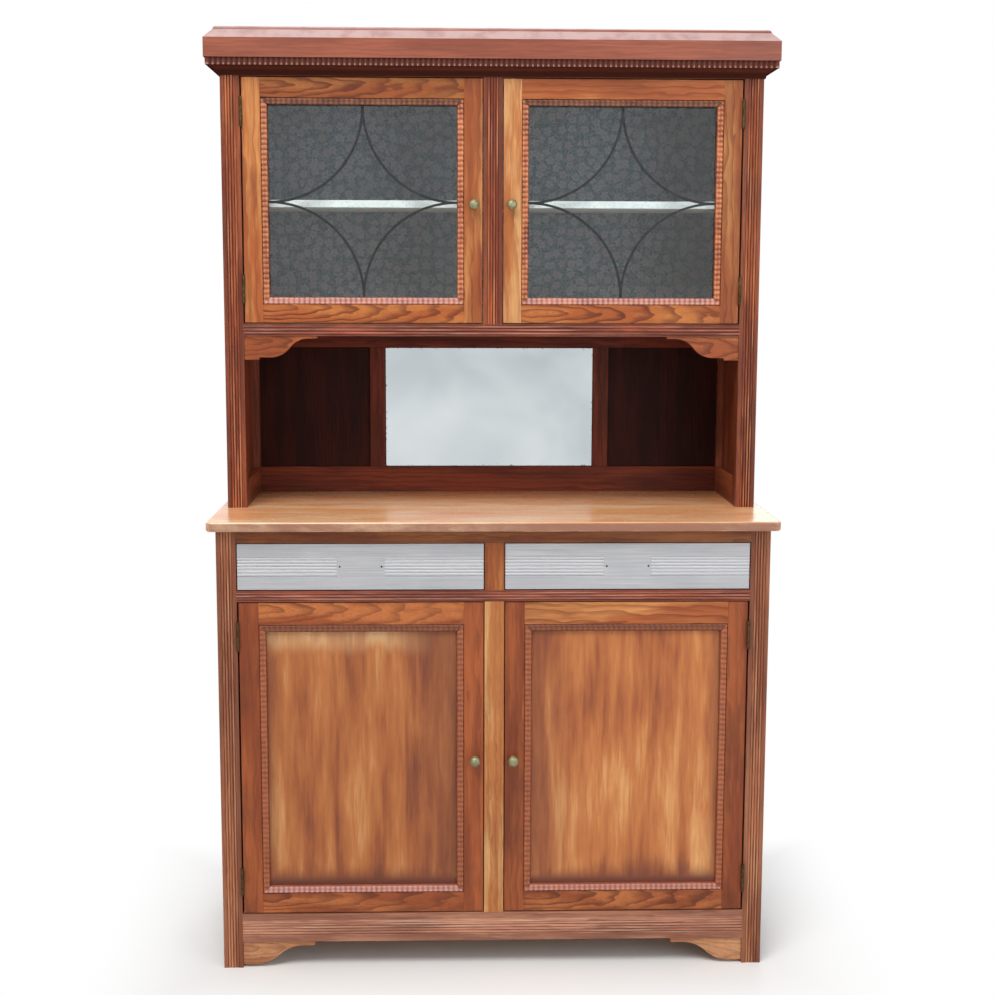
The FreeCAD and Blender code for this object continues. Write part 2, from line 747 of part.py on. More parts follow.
def knob(label, x, front, z):
    """Turned brass knob on a small rose, its axis towards the front."""
    head = at("knob_diameter") / 2
    rose = at("knob_rose") / 2
    neck = at("knob_neck") / 2
    seat = at("knob_rose_thick")
    throat = seat + at("knob_neck_length")
    crown = at("knob_projection")
    widest = (throat + crown) / 2
    middle = (crown ** 2 - widest ** 2 - head ** 2) / (2 * (crown - widest))
    dome = crown - middle
    half_angle = math.atan2(head, widest - middle) / 2
    over = (dome * math.sin(half_angle), middle + dome * math.cos(half_angle))
    outline = run([(0, crown), (0, 0), (rose, 0), (rose, seat), (neck, seat), (neck, throat), (head, widest)])
    outline.append(arc((head, widest), over, (0, crown)))
    body, sketch = sketch_body("Knob", outline)
    spin = body.newObject("PartDesign::Revolution", "KnobTurning")
    spin.Profile = sketch
    spin.ReferenceAxis = (sketch, ["V_Axis"])
    spin.Angle = 360
    node(label, [put(turn(body, Vector(0, 0, 1), 180), x, front, z)])


def hinge_heights(door):
    """Lower and upper bounds of a door's two hinges."""
    low, high = door["z"]
    return [(f"{low} + hinge_inset", f"{low} + hinge_inset + hinge_length"),
            (f"{high} - hinge_inset - hinge_length", f"{high} - hinge_inset")]


def leaf(door, bounds, knuckles, side, bore):
    """A hinge leaf in the gap beside the door: plate, tabs and knuckles, bored for the pin."""
    axis_x, axis_y = door["axis"]
    near = f"{axis_x} + {side} * (hinge_gap / 2 - leaf_thick)"
    far = f"{axis_x} + {side} * hinge_gap / 2"
    thick = (near, far) if side > 0 else (far, near)
    clear = f"{axis_y} + knuckle_radius + knuckle_clear"
    pieces = [box(thick, (clear, f"{door['front']} + door_thick"), bounds)]
    for knuckle in knuckles:
        pieces.append(box(thick, (axis_y, clear), knuckle))
        pieces.append(rod(axis_x, axis_y, knuckle, "knuckle_radius"))
    return cut(fuse(pieces), [rod(axis_x, axis_y, bounds, bore)])


def hinges(door):
    """Frame leaves with pins, and door leaves, of one door."""
    frame_leaves = []
    pins = []
    door_leaves = []
    for low, high in hinge_heights(door):
        third = "hinge_length / 3"
        gap = "knuckle_clear / 2"
        outer = [(low, f"{low} + {third} - {gap}"), (f"{high} - {third} + {gap}", high)]
        middle = [(f"{low} + {third} + {gap}", f"{high} - {third} - {gap}")]
        frame_leaves.append(leaf(door, (low, high), outer, door["hinge_side"], "pin_radius"))
        door_leaves.append(leaf(door, (low, high), middle, -door["hinge_side"], "pin_radius + pin_clear"))
        pins.append(rod(*door["axis"], (low, high), "pin_radius"))
    node(f"{door['name']}_hinge_leaves", door_leaves)
    return frame_leaves + pins


def door_places(row, side, sign):
    """Bounds, hinge axis and names of one door, as expressions."""
    upper = row == "upper"
    inner = "hutch_inner" if upper else "base_inner"
    case_front = "hutch_front" if upper else "base_front"
    outer = f"({inner} - hinge_gap)"
    meeting = "(half_muntin + door_gap)"
    x = span(sign, meeting, outer)
    return {
        "name": f"{row}_{side}_door",
        "x": (f"({x[0]})", f"({x[1]})"),
        "z": (f"({row}_low + door_gap)", f"({row}_high - door_gap)"),
        "front": f"({case_front} + door_setback)",
        "axis": (f"({sign} * ({inner} - hinge_gap / 2))", f"({case_front} - knuckle_ahead)"),
        "hinge_side": sign,
        "knob": f"{sign} * ({meeting} + knob_edge)",
    }


def door_openings(row, sign):
    """Bounds in numbers of the step inside a door's frame, and of the sight line inside its ripple."""
    inner = at("hutch_inner") if row == "upper" else at("base_inner")
    stile = at(f"{row}_stile")
    near = at("half_muntin") + at("door_gap") + stile
    far = inner - at("hinge_gap") - stile
    x = tuple(sorted((sign * near, sign * far)))
    z = (at(f"{row}_low") + at("door_gap") + at(f"{row}_low_rail"),
         at(f"{row}_high") - at("door_gap") - at(f"{row}_top_rail"))
    width = at("ripple_width")
    sight = ((x[0] + width, x[1] - width), (z[0] + width, z[1] - width))
    return (x, z), sight


def doors():
    """Two glazed doors above, two panelled doors below, and all frame leaves of their hinges."""
    frame_leaves = []
    for row, knob_height in (("upper", "upper_knob_height"), ("lower", "lower_knob_height")):
        case_front = at("hutch_front") if row == "upper" else at("base_front")
        front = case_front + at("door_setback")
        seat = front + at("door_thick") - at("lip_thick")
        for side, sign in (("left", -1), ("right", 1)):
            door = door_places(row, side, sign)
            name = door["name"]
            door_frame(f"{name}_frame", door, f"{row}_stile", f"{row}_top_rail", f"{row}_low_rail")
            pane, sight = door_openings(row, sign)
            fill = at("glass_thick") if row == "upper" else at("panel_thick")
            crest = front - at("ripple_proud")
            ripple_frame(f"{name}_ripple", *pane, crest, seat - fill - crest)
            if row == "upper":
                leaded_glass(name, pane, sight, seat - fill)
            else:
                node(f"{name}_panel", [solid(rectangle(*pane, seat - fill, fill))])
            knob(f"{name}_knob", door["knob"], door["front"], knob_height)
            frame_leaves += hinges(door)
    node("hinge_frame_leaves", frame_leaves)


def door_stops():
    """Blocks behind the muntins that the doors close against."""
    stops = []
    for row, case_front in (("upper", "hutch_front"), ("lower", "base_front")):
        z = (f"{row}_high - stop_drop - stop_height", f"{row}_high - stop_drop")
        back = f"{case_front} + rail_thick + stop_thick"
        wing_front = f"{case_front} + door_setback + door_thick + stop_clear"
        stops.append(fuse([box(wide("half_muntin"), (f"{case_front} + rail_thick", back), z),
                           box(wide("(half_muntin + stop_reach)"), (wing_front, back), z)]))
    node("door_stops", stops)


def drawer(side, sign):
    """A reeded front with empty pull holes, and its box of thin boards."""
    near = "(half_muntin + drawer_gap)"
    far = "(base_inner - drawer_gap)"
    centre = f"{sign} * ({near} + {far}) / 2"
    low = "(drawer_low + drawer_gap)"
    high = "(drawer_high - drawer_gap)"
    front = "(base_front + door_setback)"
    back = f"({front} + drawer_front_thick)"
    height = at("drawer_opening") - 2 * at("drawer_gap")
    outline = reeded_outline(height, at("drawer_front_thick"), count("drawer_reeds"), at("drawer_reed_pitch"))
    x = span(sign, near, far)
    block = (f"{centre} - drawer_block / 2", f"{centre} + drawer_block / 2")
    pieces = [box(block, (front, back), (low, high))]
    for start, end in ((x[0], block[0]), (block[1], x[1])):
        reeded = turn(pad_body("DrawerSide", outline, f"({end}) - ({start})"), Vector(0, 1, 0), 90)
        pieces.append(put(reeded, start, front, f"({low} + {high}) / 2"))
    holes = []
    for end in ("-1", "1"):
        hole = doc.addObject("Part::Cylinder", "PullHole")
        hole.setExpression("Radius", bound("pull_hole / 2"))
        hole.setExpression("Height", bound("drawer_front_thick"))
        turn(hole, Vector(1, 0, 0), -90)
        holes.append(put(hole, f"{centre} + {end} * pull_spacing / 2", front, f"({low} + {high}) / 2"))
    node(f"{side}_drawer_front", [cut(fuse(pieces), holes)])
    box_low = "(drawer_low + runner_clear)"
    box_high = f"({high} - drawer_box_drop)"
    deep = (back, "(back_board_front - drawer_back_gap)")
    rest = f"({box_low} + drawer_bottom_rise)"
    sides = (span(sign, near, f"{near} + drawer_side"), span(sign, f"{far} - drawer_side", far))
    boards = [box(bounds, deep, (box_low, box_high)) for bounds in sides]
    inside = span(sign, f"{near} + drawer_side", f"{far} - drawer_side")
    boards.append(box(inside, (f"{deep[1]} - drawer_side", deep[1]), (f"{rest} + drawer_bottom", box_high)))
    boards.append(box(inside, deep, (rest, f"{rest} + drawer_bottom")))
    node(f"{side}_drawer_box", boards)


worktop()
base_case()
hutch_case()
recess()
brackets()
cornice()
doors()
door_stops()
drawer("left", -1)
drawer("right", 1)
doc.recompute()

# Nothing is written unless every object is sound.
for item in doc.Objects:
    if "Invalid" in item.State or "Error" in item.State:
        raise RuntimeError(f"{item.Name} failed: {item.State}")
for item in nodes:
    if item.Shape.isNull() or not item.Shape.isValid() or not item.Shape.Solids:
        raise RuntimeError(f"{item.Label} has no sound shape")

os.makedirs("parts", exist_ok=True)
for item in nodes:
    item.Shape.exportStep(f"parts/{item.Label}.step")
print(len(nodes), "nodes written")
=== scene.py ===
import itertools
import json
import math
import random

import bmesh
import bpy
from mathutils import Matrix, Vector

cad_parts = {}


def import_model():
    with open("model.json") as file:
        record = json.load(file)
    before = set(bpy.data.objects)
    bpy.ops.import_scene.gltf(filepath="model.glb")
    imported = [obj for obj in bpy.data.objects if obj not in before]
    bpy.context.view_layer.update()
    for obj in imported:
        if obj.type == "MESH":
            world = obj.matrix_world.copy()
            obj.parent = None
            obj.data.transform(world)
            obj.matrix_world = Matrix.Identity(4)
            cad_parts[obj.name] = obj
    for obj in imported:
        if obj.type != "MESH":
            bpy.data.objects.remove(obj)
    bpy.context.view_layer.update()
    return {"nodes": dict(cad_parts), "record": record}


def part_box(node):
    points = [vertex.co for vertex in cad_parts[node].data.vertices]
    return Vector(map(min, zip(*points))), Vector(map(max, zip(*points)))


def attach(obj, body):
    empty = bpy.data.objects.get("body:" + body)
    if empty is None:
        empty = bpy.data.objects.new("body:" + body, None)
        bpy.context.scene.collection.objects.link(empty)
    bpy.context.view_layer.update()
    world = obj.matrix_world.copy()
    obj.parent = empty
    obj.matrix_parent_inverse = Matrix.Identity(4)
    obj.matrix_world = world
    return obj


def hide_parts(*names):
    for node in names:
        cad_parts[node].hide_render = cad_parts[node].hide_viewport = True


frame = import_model()
record = frame["record"]
body_of = {node: body for body, nodes in record["behaviour"]["bodies"].items() for node in nodes}
scene = bpy.context.scene
scene.view_settings.view_transform = "Standard"

MM = 0.001

# Photograph's camera: place in metres, turns in radians, focal length in pixels
CAMERA_PLACE = (-0.0937, -3.4252, 1.4292)
CAMERA_PITCH = 0.1355
CAMERA_YAW = 0.0307
CAMERA_ROLL = 0.003
FOCAL_PIXELS = 1600.1
PHOTO_HEIGHT = 995
SENSOR = 36.0

# Soft boxes: name, place, target, size, watts, colour
LAMPS = (
    ("key", (-0.9, -2.6, 4.5), (0, 0, 1.0), 2.4, 140, (1.0, 0.98, 0.95)),
    ("fill", (2.4, -3.6, 1.8), (0, 0, 0.9), 2.6, 48, (0.95, 0.98, 1.0)),
    ("back", (0.5, 3.6, 2.8), (0, 0, 1.0), 2.6, 60, (1.0, 1.0, 1.0)),
)
# Daylight: its colour, and its levels at two heights of the sky
DAYLIGHT = (0.94, 0.97, 1.0, 1)
DAYLIGHT_HEIGHTS = (-0.3, 0.6)
DAYLIGHT_LEVELS = (0.16, 0.5)
# Floor in metres: half its side, the half plan that its fade runs round, and where the fade starts and ends
FLOOR_HALF = 30.0
FLOOR_PLAN = (0.56, 0.24)
FLOOR_FADE = (-0.05, 0.32)
FLOOR_TONES = ((0.86, 0.86, 0.85, 1), (0.90, 0.90, 0.89, 1))

# Width of the eased edges
BOARD_EDGE = 0.7 * MM
BACK_BOARD_EDGE = 1.5 * MM
MIRROR_EDGE = 2.0 * MM
GLASS_EDGE = 0.3 * MM
THIN_EDGE = 0.2 * MM
EDGE_STEPS = 2
# Angles in degrees: faces that count as one flat side, and edges that are eased
FLAT_ANGLE = 1
EASED_ANGLE = 40
# Angles in degrees from which an edge is drawn sharp
BOARD_SHARP = 35
PLATE_SHARP = 5
RIPPLE_SHARP = 50
STRIP_SHARP = 70
KNOB_SHARP = 60

# Ripple moulding round the doors
RIPPLE_PITCH = 10.7 * MM
RIPPLE_WIDE = 15 * MM
RIPPLE_DEEP = 4.2 * MM
RIPPLE_STEPS = 8
ROLL_STEPS = 12
# Its shape: where its two rolls have their crests, height left between the rolls, roundness of roll and
# wave, height left between the waves
ROLL_CRESTS = (0.25, 0.75)
GROOVE_HEIGHT = 0.6
ROLL_ROUND = 0.4
WAVE_ROUND = 0.8
WAVE_HEIGHT = 0.56
# The least relief that its finish reads
RIPPLE_RELIEF = 0.4
# Corners nearer than this are one
WELD = 0.001 * MM
# Depth of the ripples in the cornice's strip
STRIP_DEEP = 2.4 * MM
# Radius and height of the knob's rings, as shares of its own
KNOB_SEGMENTS = 48
KNOB_PROFILE = [(0.72, 0.0), (0.74, 0.05), (0.62, 0.10), (0.44, 0.16), (0.38, 0.26), (0.40, 0.36),
                (0.56, 0.45), (0.82, 0.53), (0.97, 0.62), (1.0, 0.70), (0.96, 0.79), (0.82, 0.89),
                (0.58, 0.96), (0.28, 0.99)]

# Width of the planks that a wide board is glued from, and of the seam between them
PLANK = 125 * MM
SEAM = 1.2 * MM
# A board's front: its faces within a depth, and those whose normal has its y at or under a limit
FRONT_SKIN = 3 * MM
FRONT_FACING = -0.2
# Depth that the reeds and their valleys lie within
REED_DEEP = 2.3 * MM
# A ring texture of scale 1 has its rings this many metres apart
RING_SCALE = 0.314
# How far the paper's flowers and leaves may be turned, in radians
SPIN = 6.28
# Ranges that a board's grain is drawn from: the pith's lean, its place aside as a share of the width and its
# depth in mm, for flamed and for plain woods; then where the grain starts, and the tone
FLAME_LEAN = (0.10, 0.18)
FLAME_ASIDE = (-0.3, 0.3)
FLAME_DEEP = (5, 14)
PLAIN_LEAN = (0.005, 0.025)
PLAIN_ASIDE = (0.6, 1.3)
PLAIN_DEEP = (50, 100)
GRAIN_START = (0.0, 9.0)
TONE_RANGE = (0.94, 1.06)

# Woods of each door frame: left stile, right stile, low rail, top rail
FRAMES = {
    "upper_left_door": ("upper_stile", "upper_stile", "upper_rail", "upper_rail"),
    "upper_right_door": ("pale_stile", "upper_stile", "upper_rail", "upper_stile"),
    "lower_left_door": ("lower_stile", "lower_stile", "lower_rail", "lower_rail"),
    "lower_right_door": ("lower_stile", "lower_stile", "lower_rail", "upper_stile"),
}
# Tones of the boards of a node, in the order they were built, where they aren't all 1; the frieze rail's is a
# painted shadow under the worktop
TONES = {
    "hutch_front_posts": (1.08, 0.82),
    "hutch_brackets": (1.15,),
    # Painted shadow: the frieze rail darkened under the worktop's overhang
    "frieze_rail": (0.62,),
    "cornice": (0.92,),
    "base_back_boards": (1.0, 0.9, 1.05, 0.86, 0.97, 1.08),
    "upper_left_door_frame": (0.90, 0.75, 0.89, 0.67),
    "upper_right_door_frame": (0.79, 0.69, 0.95, 0.84),
    "lower_left_door_frame": (1.05, 1.17, 1.20, 1.15),
    "lower_right_door_frame": (0.98, 1.05, 1.08, 0.9),
    "lower_left_door_panel": (0.95,),
    "lower_right_door_panel": (1.04,),
}
# Tones of the strips of a ripple frame: foot, head, left, right; the pale foot is painted light from above,
# the dark head a painted shadow
RIPPLE_TONES_AND_LIGHT = {"upper": (1.3, 0.36, 0.95, 1.0), "lower": (1.3, 0.56, 0.88, 0.93)}
# Woods sawn so that their rings make flames
FLAMED = ("upper_rail", "lower_rail", "bracket", "worktop")
# Nodes that share a finish
CASE_NODES = ("base_rear_posts", "hutch_rear_posts", "base_case_rails", "hutch_side_rails", "hutch_top_rail",
              "base_side_panels", "hutch_side_panels")
INNER_NODES = ("base_floor", "base_shelf", "drawer_runners", "hutch_floor", "shelf_bearers",
               "hutch_top_board", "door_stops", "left_drawer_box", "right_drawer_box")


def linear(red, green, blue):
    """A listed colour, as the shader wants it."""
    def channel(value):
        value /= 255
        return value / 12.92 if value <= 0.04045 else ((value + 0.055) / 1.055) ** 2.4
    return (channel(red), channel(green), channel(blue), 1)


def palette(*colours):
    """Several listed colours, as the shader wants them."""
    return [linear(*colour) for colour in colours]


BLACK = (0.0, 0.0, 0.0, 1)
DIM = (0.1, 0.1, 0.1, 1)
WHITE = (1.0, 1.0, 1.0, 1)
# Painted shade, for faces that face down and near the feet of cornice boards
PAINTED_SHADE = linear(60, 30, 25)
# Painted shade in the valleys of reeds
REED_VALLEY_SHADE = linear(48, 20, 14)
# Painted sheen of the sky on the crests of the pale, lit ripple strips
SKY_SHEEN = linear(196, 158, 158)
# Painted highlight on the crests near the foot of the cornice's ripple
CREST_HIGHLIGHT = linear(176, 136, 124)
# Roughness of varnish, at its glossiest and its dullest
VARNISH = (0.34, 0.6)


class Nodes:
    """A node tree, written as calls."""

    def __init__(self, tree):
        self.tree = tree

    def add(self, kind, inputs, **settings):
        node = self.tree.nodes.new(kind)
        for key, value in settings.items():
            setattr(node, key, value)
        for key, value in inputs.items():
            self.set(node.inputs[key], value)
        return node

    def set(self, socket, value):
        if isinstance(value, bpy.types.NodeSocket):
            self.tree.links.new(value, socket)
        else:
            socket.default_value = value

    def math(self, operation, first, second=0.0):
        return self.add("ShaderNodeMath", {0: first, 1: second}, operation=operation).outputs[0]

    def plus(self, first, second):
        return self.math("ADD", first, second)

    def minus(self, first, second):
        return self.math("SUBTRACT", first, second)

    def times(self, first, second):
        return self.math("MULTIPLY", first, second)

    def least(self, first, second):
        return self.math("MINIMUM", first, second)

    def most(self, first, second):
        return self.math("MAXIMUM", first, second)

    def size_of(self, value):
        return self.math("ABSOLUTE", value)

    def place(self):
        return self.add("ShaderNodeTexCoord", {}).outputs["Object"]

    def split(self, vector):
        return self.add("ShaderNodeSeparateXYZ", {0: vector}).outputs

    def vector(self, operation, first, second):
        return self.add("ShaderNodeVectorMath", {0: first, 1: second}, operation=operation).outputs[0]

    def scaled(self, vector, scale):
        return self.vector("MULTIPLY", vector, scale)

    def noise(self, vector, scale, detail=3.0, roughness=0.55, distortion=0.0):
        inputs = {"Vector": vector, "Scale": scale, "Detail": detail, "Roughness": roughness,
                  "Distortion": distortion}
        return self.add("ShaderNodeTexNoise", inputs).outputs["Fac"]

    def along_grain(self, stretch, *pattern):
        """Noise drawn out along a board's grain: the smaller the stretch, the longer its streaks."""
        return self.noise(self.scaled(self.carried("grain"), (1.0, 1.0, stretch)), *pattern)

    def ramp(self, factor, stops):
        node = self.add("ShaderNodeValToRGB", {0: factor})
        elements = node.color_ramp.elements
        while len(elements) < len(stops):
            elements.new(0.5)
        for element, (position, colour) in zip(elements, stops):
            element.position = position
            element.color = colour
        return node.outputs["Color"]

    def spread(self, value, low, high, out_low=0.0, out_high=1.0, kind="SMOOTHSTEP"):
        """Maps the range from low to high to the range of the output, with soft ends."""
        inputs = {"Value": value, "From Min": low, "From Max": high, "To Min": out_low, "To Max": out_high}
        return self.add("ShaderNodeMapRange", inputs, interpolation_type=kind).outputs[0]

    def straight(self, value, low, high, out_low, out_high):
        """Maps like spread, along a straight line."""
        return self.spread(value, low, high, out_low, out_high, "LINEAR")

    def mix(self, factor, first, second):
        """The first colour, with a share of the second."""
        node = self.add("ShaderNodeMix", {}, data_type="RGBA", blend_type="MIX")
        for socket, value in zip((node.inputs[0], node.inputs[6], node.inputs[7]), (factor, first, second)):
            self.set(socket, value)
        return node.outputs[2]

    def blend(self, share, first, second):
        """The first shader, with a share of the second."""
        shaders = {0: share, 1: first.outputs[0], 2: second.outputs[0]}
        return self.add("ShaderNodeMixShader", shaders).outputs[0]

    def carried(self, name, output="Vector"):
        """A value that each corner of a piece carries."""
        return self.add("ShaderNodeAttribute", {}, attribute_name=name).outputs[output]

    def toned(self, colour):
        """A colour made darker or paler by the board's own tone."""
        inputs = {"Color": colour, "Value": self.carried("tone", "Fac")}
        return self.add("ShaderNodeHueSaturation", inputs).outputs[0]

    def upward(self):
        """How far the surface faces up, from -1 to 1."""
        return self.split(self.add("ShaderNodeNewGeometry", {}).outputs["Normal"])[2]

    def margins(self):
        """Distances from a board's foot, nearer side and head."""
        across, _, up = self.split(self.carried("inside"))
        wide, _, tall = self.split(self.carried("size"))
        side = self.least(across, self.minus(wide, across))
        return up, side, self.minus(tall, up)

    def white_rays(self):
        """1 for rays that see the background: straight, mirrored or through glass."""
        path = self.add("ShaderNodeLightPath", {})
        seen = self.most(path.outputs["Is Camera Ray"], path.outputs["Is Glossy Ray"])
        return self.most(seen, path.outputs["Is Transmission Ray"])


class Finish(Nodes):
    """The node tree of a new material."""

    def __init__(self, name):
        self.material = bpy.data.materials.new(name)
        self.material.use_nodes = True
        super().__init__(self.material.node_tree)
        self.shader = self.tree.nodes["Principled BSDF"]
        self.surface = self.tree.nodes["Material Output"].inputs["Surface"]

    def done(self, colour, roughness, height=None, bump=0.3, distance=0.3 * MM, **sockets):
        """Fills in the shader's sockets and gives the material."""
        self.set(self.shader.inputs["Base Color"], colour)
        self.set(self.shader.inputs["Roughness"], roughness)
        if height is not None:
            node = self.add("ShaderNodeBump", {"Strength": bump, "Distance": distance, "Height": height})
            self.set(self.shader.inputs["Normal"], node.outputs[0])
        for name, value in sockets.items():
            self.set(self.shader.inputs[name.replace("_", " ")], value)
        return self.material


def wood_colour(graph, light, middle, dark, ring, figure, blotch):
    """Growth rings, fibres and broad tone of a board: its colour, the height of its grain, its fibres."""
    light, middle, dark = palette(light, middle, dark)
    rings = {"Vector": graph.scaled(graph.carried("grain"), (1.0, 1.0, 0.22)), "Scale": RING_SCALE / ring,
             "Distortion": 4.0, "Detail": 1.0, "Detail Scale": 2.2, "Detail Roughness": 0.4}
    wave = graph.add("ShaderNodeTexWave", rings, wave_type="RINGS", rings_direction="Z", wave_profile="SAW")
    stops = [(0.0, BLACK), (0.45, DIM), (0.84, WHITE), (0.95, WHITE), (1.0, BLACK)]
    late = graph.ramp(wave.outputs["Fac"], stops)
    strength = graph.spread(graph.along_grain(0.2, 16.0, 2.0), 0.3, 0.7, 0.45, 1.0)
    lines = graph.times(graph.times(late, strength), figure)
    long_tone = graph.along_grain(0.12, 24.0, 5.0, 0.6)
    ground = graph.mix(graph.spread(long_tone, 0.42, 0.6), middle, light)
    figured = graph.mix(lines, ground, dark)
    fibre = graph.along_grain(0.015, 750.0, 2.0, 0.65)
    streaked = graph.mix(graph.spread(fibre, 0.42, 0.75, 0.0, 0.42), figured, dark)
    cloud = graph.along_grain(0.35, 11.0, 4.0, 0.6)
    clouded = graph.mix(graph.spread(cloud, 0.46, 0.72, 0.0, blotch), streaked, dark)
    height = graph.plus(graph.times(late, -0.4), graph.times(fibre, 0.8))
    return graph.toned(clouded), height, fibre


def wood(name, light, middle, dark, ring=6 * MM, figure=0.6, blotch=0.4, shine=VARNISH, lightening=None, gloss=0.3):
    """Varnished or bare board.

    One given a lightening colour shows it where it faces up, as a painted sheen, and takes a painted shade
    where it faces down and at its foot.
    """
    graph = Finish(name)
    colour, height, fibre = wood_colour(graph, light, middle, dark, ring, figure, blotch)
    if lightening:
        up = graph.upward()
        patches = graph.spread(graph.noise(graph.place(), 26.0, 4.0), 0.3, 0.6, 0.6, 0.95)
        # Painted sheen: the lightening colour on faces that face up
        share = graph.times(graph.spread(up, 0.4, 0.8), patches)
        foot, _, _ = graph.margins()
        # Painted shade near the board's foot and on faces that face down
        low = graph.spread(foot, 8 * MM, 24 * MM, 0.95, 0.0)
        under = graph.most(graph.spread(up, -0.1, -0.5, 0.0, 0.75), low)
        colour = graph.mix(share, graph.mix(under, colour, PAINTED_SHADE), linear(*lightening))
        gloss = graph.spread(under, 0.0, 0.25, gloss, 0.0)
    rough = graph.straight(fibre, 0.2, 0.8, *shine)
    return graph.done(colour, rough, height, bump=0.25, Specular_IOR_Level=gloss)


def plank_wood(name, light, middle, dark, seam, edge, axis, shine, gloss, back_shade=0.0):
    """Planks side by side along an axis, each of its own tone, with dark seams between them.

    Faces that don't face up take the edge colour, and back_shade is the share of painted shade towards the
    back, under the hutch.
    """
    graph = Finish(name)
    colour, height, fibre = wood_colour(graph, light, middle, dark, ring=11 * MM, figure=0.45, blotch=0.4)
    light, dark, seam, edge = palette(light, dark, seam, edge)
    inside = graph.split(graph.carried("inside"))
    row = graph.math("DIVIDE", inside[axis], PLANK)
    number = graph.math("FLOOR", row)
    shift = graph.add("ShaderNodeTexWhiteNoise", {"W": number}, noise_dimensions="1D").outputs["Value"]
    shifted = graph.mix(graph.times(shift, 0.4), colour, dark)
    from_middle = graph.size_of(graph.minus(graph.math("FRACT", row), 0.5))
    line = graph.spread(from_middle, 0.5 - SEAM / PLANK, 0.5, 0.0, 0.8)
    seamed = graph.mix(line, shifted, seam)
    stain = graph.along_grain(0.25, 9.0, 5.0, 0.6)
    bleached = graph.mix(graph.spread(stain, 0.32, 0.5, 0.6, 0.0), seamed, light)
    stained = graph.mix(graph.spread(stain, 0.52, 0.68, 0.0, 0.6), bleached, dark)
    # Painted shade towards the back of the board, where the hutch stands over it
    shaded_back = graph.mix(graph.spread(inside[1], 200 * MM, 470 * MM, 0.0, back_shade), stained, seam)
    blot = graph.spread(graph.along_grain(0.45, 30.0, 6.0, 0.7), 0.32, 0.68, 0.5, 0.95)
    handled = graph.mix(graph.times(graph.spread(graph.upward(), 0.3, 1.0, 1.0, 0.0), blot), shaded_back, edge)
    rough = graph.straight(fibre, 0.2, 0.8, *shine)
    deep = graph.minus(height, graph.times(line, 2.0))
    return graph.done(handled, rough, deep, bump=0.05, Specular_IOR_Level=gloss)


def reeded_wood(name, light, middle, dark, ridge, margin, valley_shade_share, upright):
    """Stained reeded post or rail: painted shade in the valleys, ridges lighter where the stain has gone with
    wear and a painted highlight falls, flat dark margins.
    """
    graph = Finish(name)
    colour, height, fibre = wood_colour(graph, light, middle, dark, ring=7 * MM, figure=0.4, blotch=0.5)
    depth = graph.carried("depth", "Fac")
    # Painted shade in the reeds' valleys
    valley = graph.spread(depth, 0.5 * MM, 1.9 * MM)
    valley_shade = graph.times(valley, graph.math("LESS_THAN", depth, REED_DEEP))
    valley_shaded = graph.mix(graph.times(valley_shade, valley_shade_share), colour, REED_VALLEY_SHADE)
    wear = graph.along_grain(0.03, 190.0, 5.0, 0.6)
    crest = graph.spread(depth, 0.02 * MM, 0.5 * MM, 0.6, 0.0)
    foot, side, head = graph.margins()
    edge = side if upright else graph.least(foot, head)
    flat = graph.spread(edge, margin - 1 * MM, margin + 1 * MM, 1.0, 0.0)
    shaded = graph.mix(graph.times(flat, 0.35), valley_shaded, linear(*dark))
    banded = graph.times(crest, graph.straight(flat, 0.0, 1.0, 1.0, 0.15))
    # Ridges lighter: stain gone with wear, and a painted highlight
    lightening = graph.times(banded, graph.spread(wear, 0.44, 0.66))
    final = graph.mix(lightening, shaded, linear(*ridge))
    rough = graph.straight(fibre, 0.2, 0.8, *VARNISH)
    return graph.done(final, rough, height, bump=0.25, Specular_IOR_Level=0.3)


def ripple_wood(name, crest, middle, groove, paling=0.0, gloss=0.4):
    """Ripple moulding: crests painted bright as a highlight and grooves painted dark as shade, varied along
    the grain, with a painted sky sheen on strips of a pale tone.

    One given paling paints highlights on its crests near the foot, and a painted shade where it faces down.
    """
    graph = Finish(name)
    crest, middle, groove = palette(crest, middle, groove)
    relief = graph.carried("depth", "Fac")
    wear = graph.along_grain(0.3, 90.0, 4.0)
    uneven = graph.plus(relief, graph.straight(wear, 0.3, 0.7, -0.28, 0.2))
    # Crests painted bright as a highlight, grooves painted dark as shade
    colour = graph.ramp(uneven, [(0.3, groove), (0.62, middle), (1.0, crest)])
    fibre = graph.along_grain(0.02, 700.0, 2.0, 0.65)
    grained = graph.mix(graph.spread(fibre, 0.45, 0.75, 0.0, 0.35), colour, groove)
    # Strips of a pale tone are the lit ones: painted sky sheen on their crests
    pale = graph.spread(graph.carried("tone", "Fac"), 1.05, 1.35)
    sheen = graph.times(pale, graph.spread(relief, 0.4, 0.95, 0.1, 0.75))
    final = graph.mix(sheen, graph.toned(grained), SKY_SHEEN)
    if paling:
        foot, _, _ = graph.margins()
        # Painted highlights on the crests near the foot
        lit_tips = graph.times(graph.spread(foot, 2 * MM, 6 * MM, paling, 0.0), graph.spread(relief, 0.5, 0.9))
        # Painted shade where the strip faces down
        under = graph.spread(graph.upward(), -0.3, -0.7)
        final = graph.mix(under, graph.mix(lit_tips, final, CREST_HIGHLIGHT), PAINTED_SHADE)
        gloss = graph.spread(under, 0.0, 0.25, gloss, 0.0)
    rough = graph.straight(wear, 0.2, 0.8, 0.3, 0.5)
    return graph.done(final, rough, fibre, bump=0.15, Specular_IOR_Level=gloss)


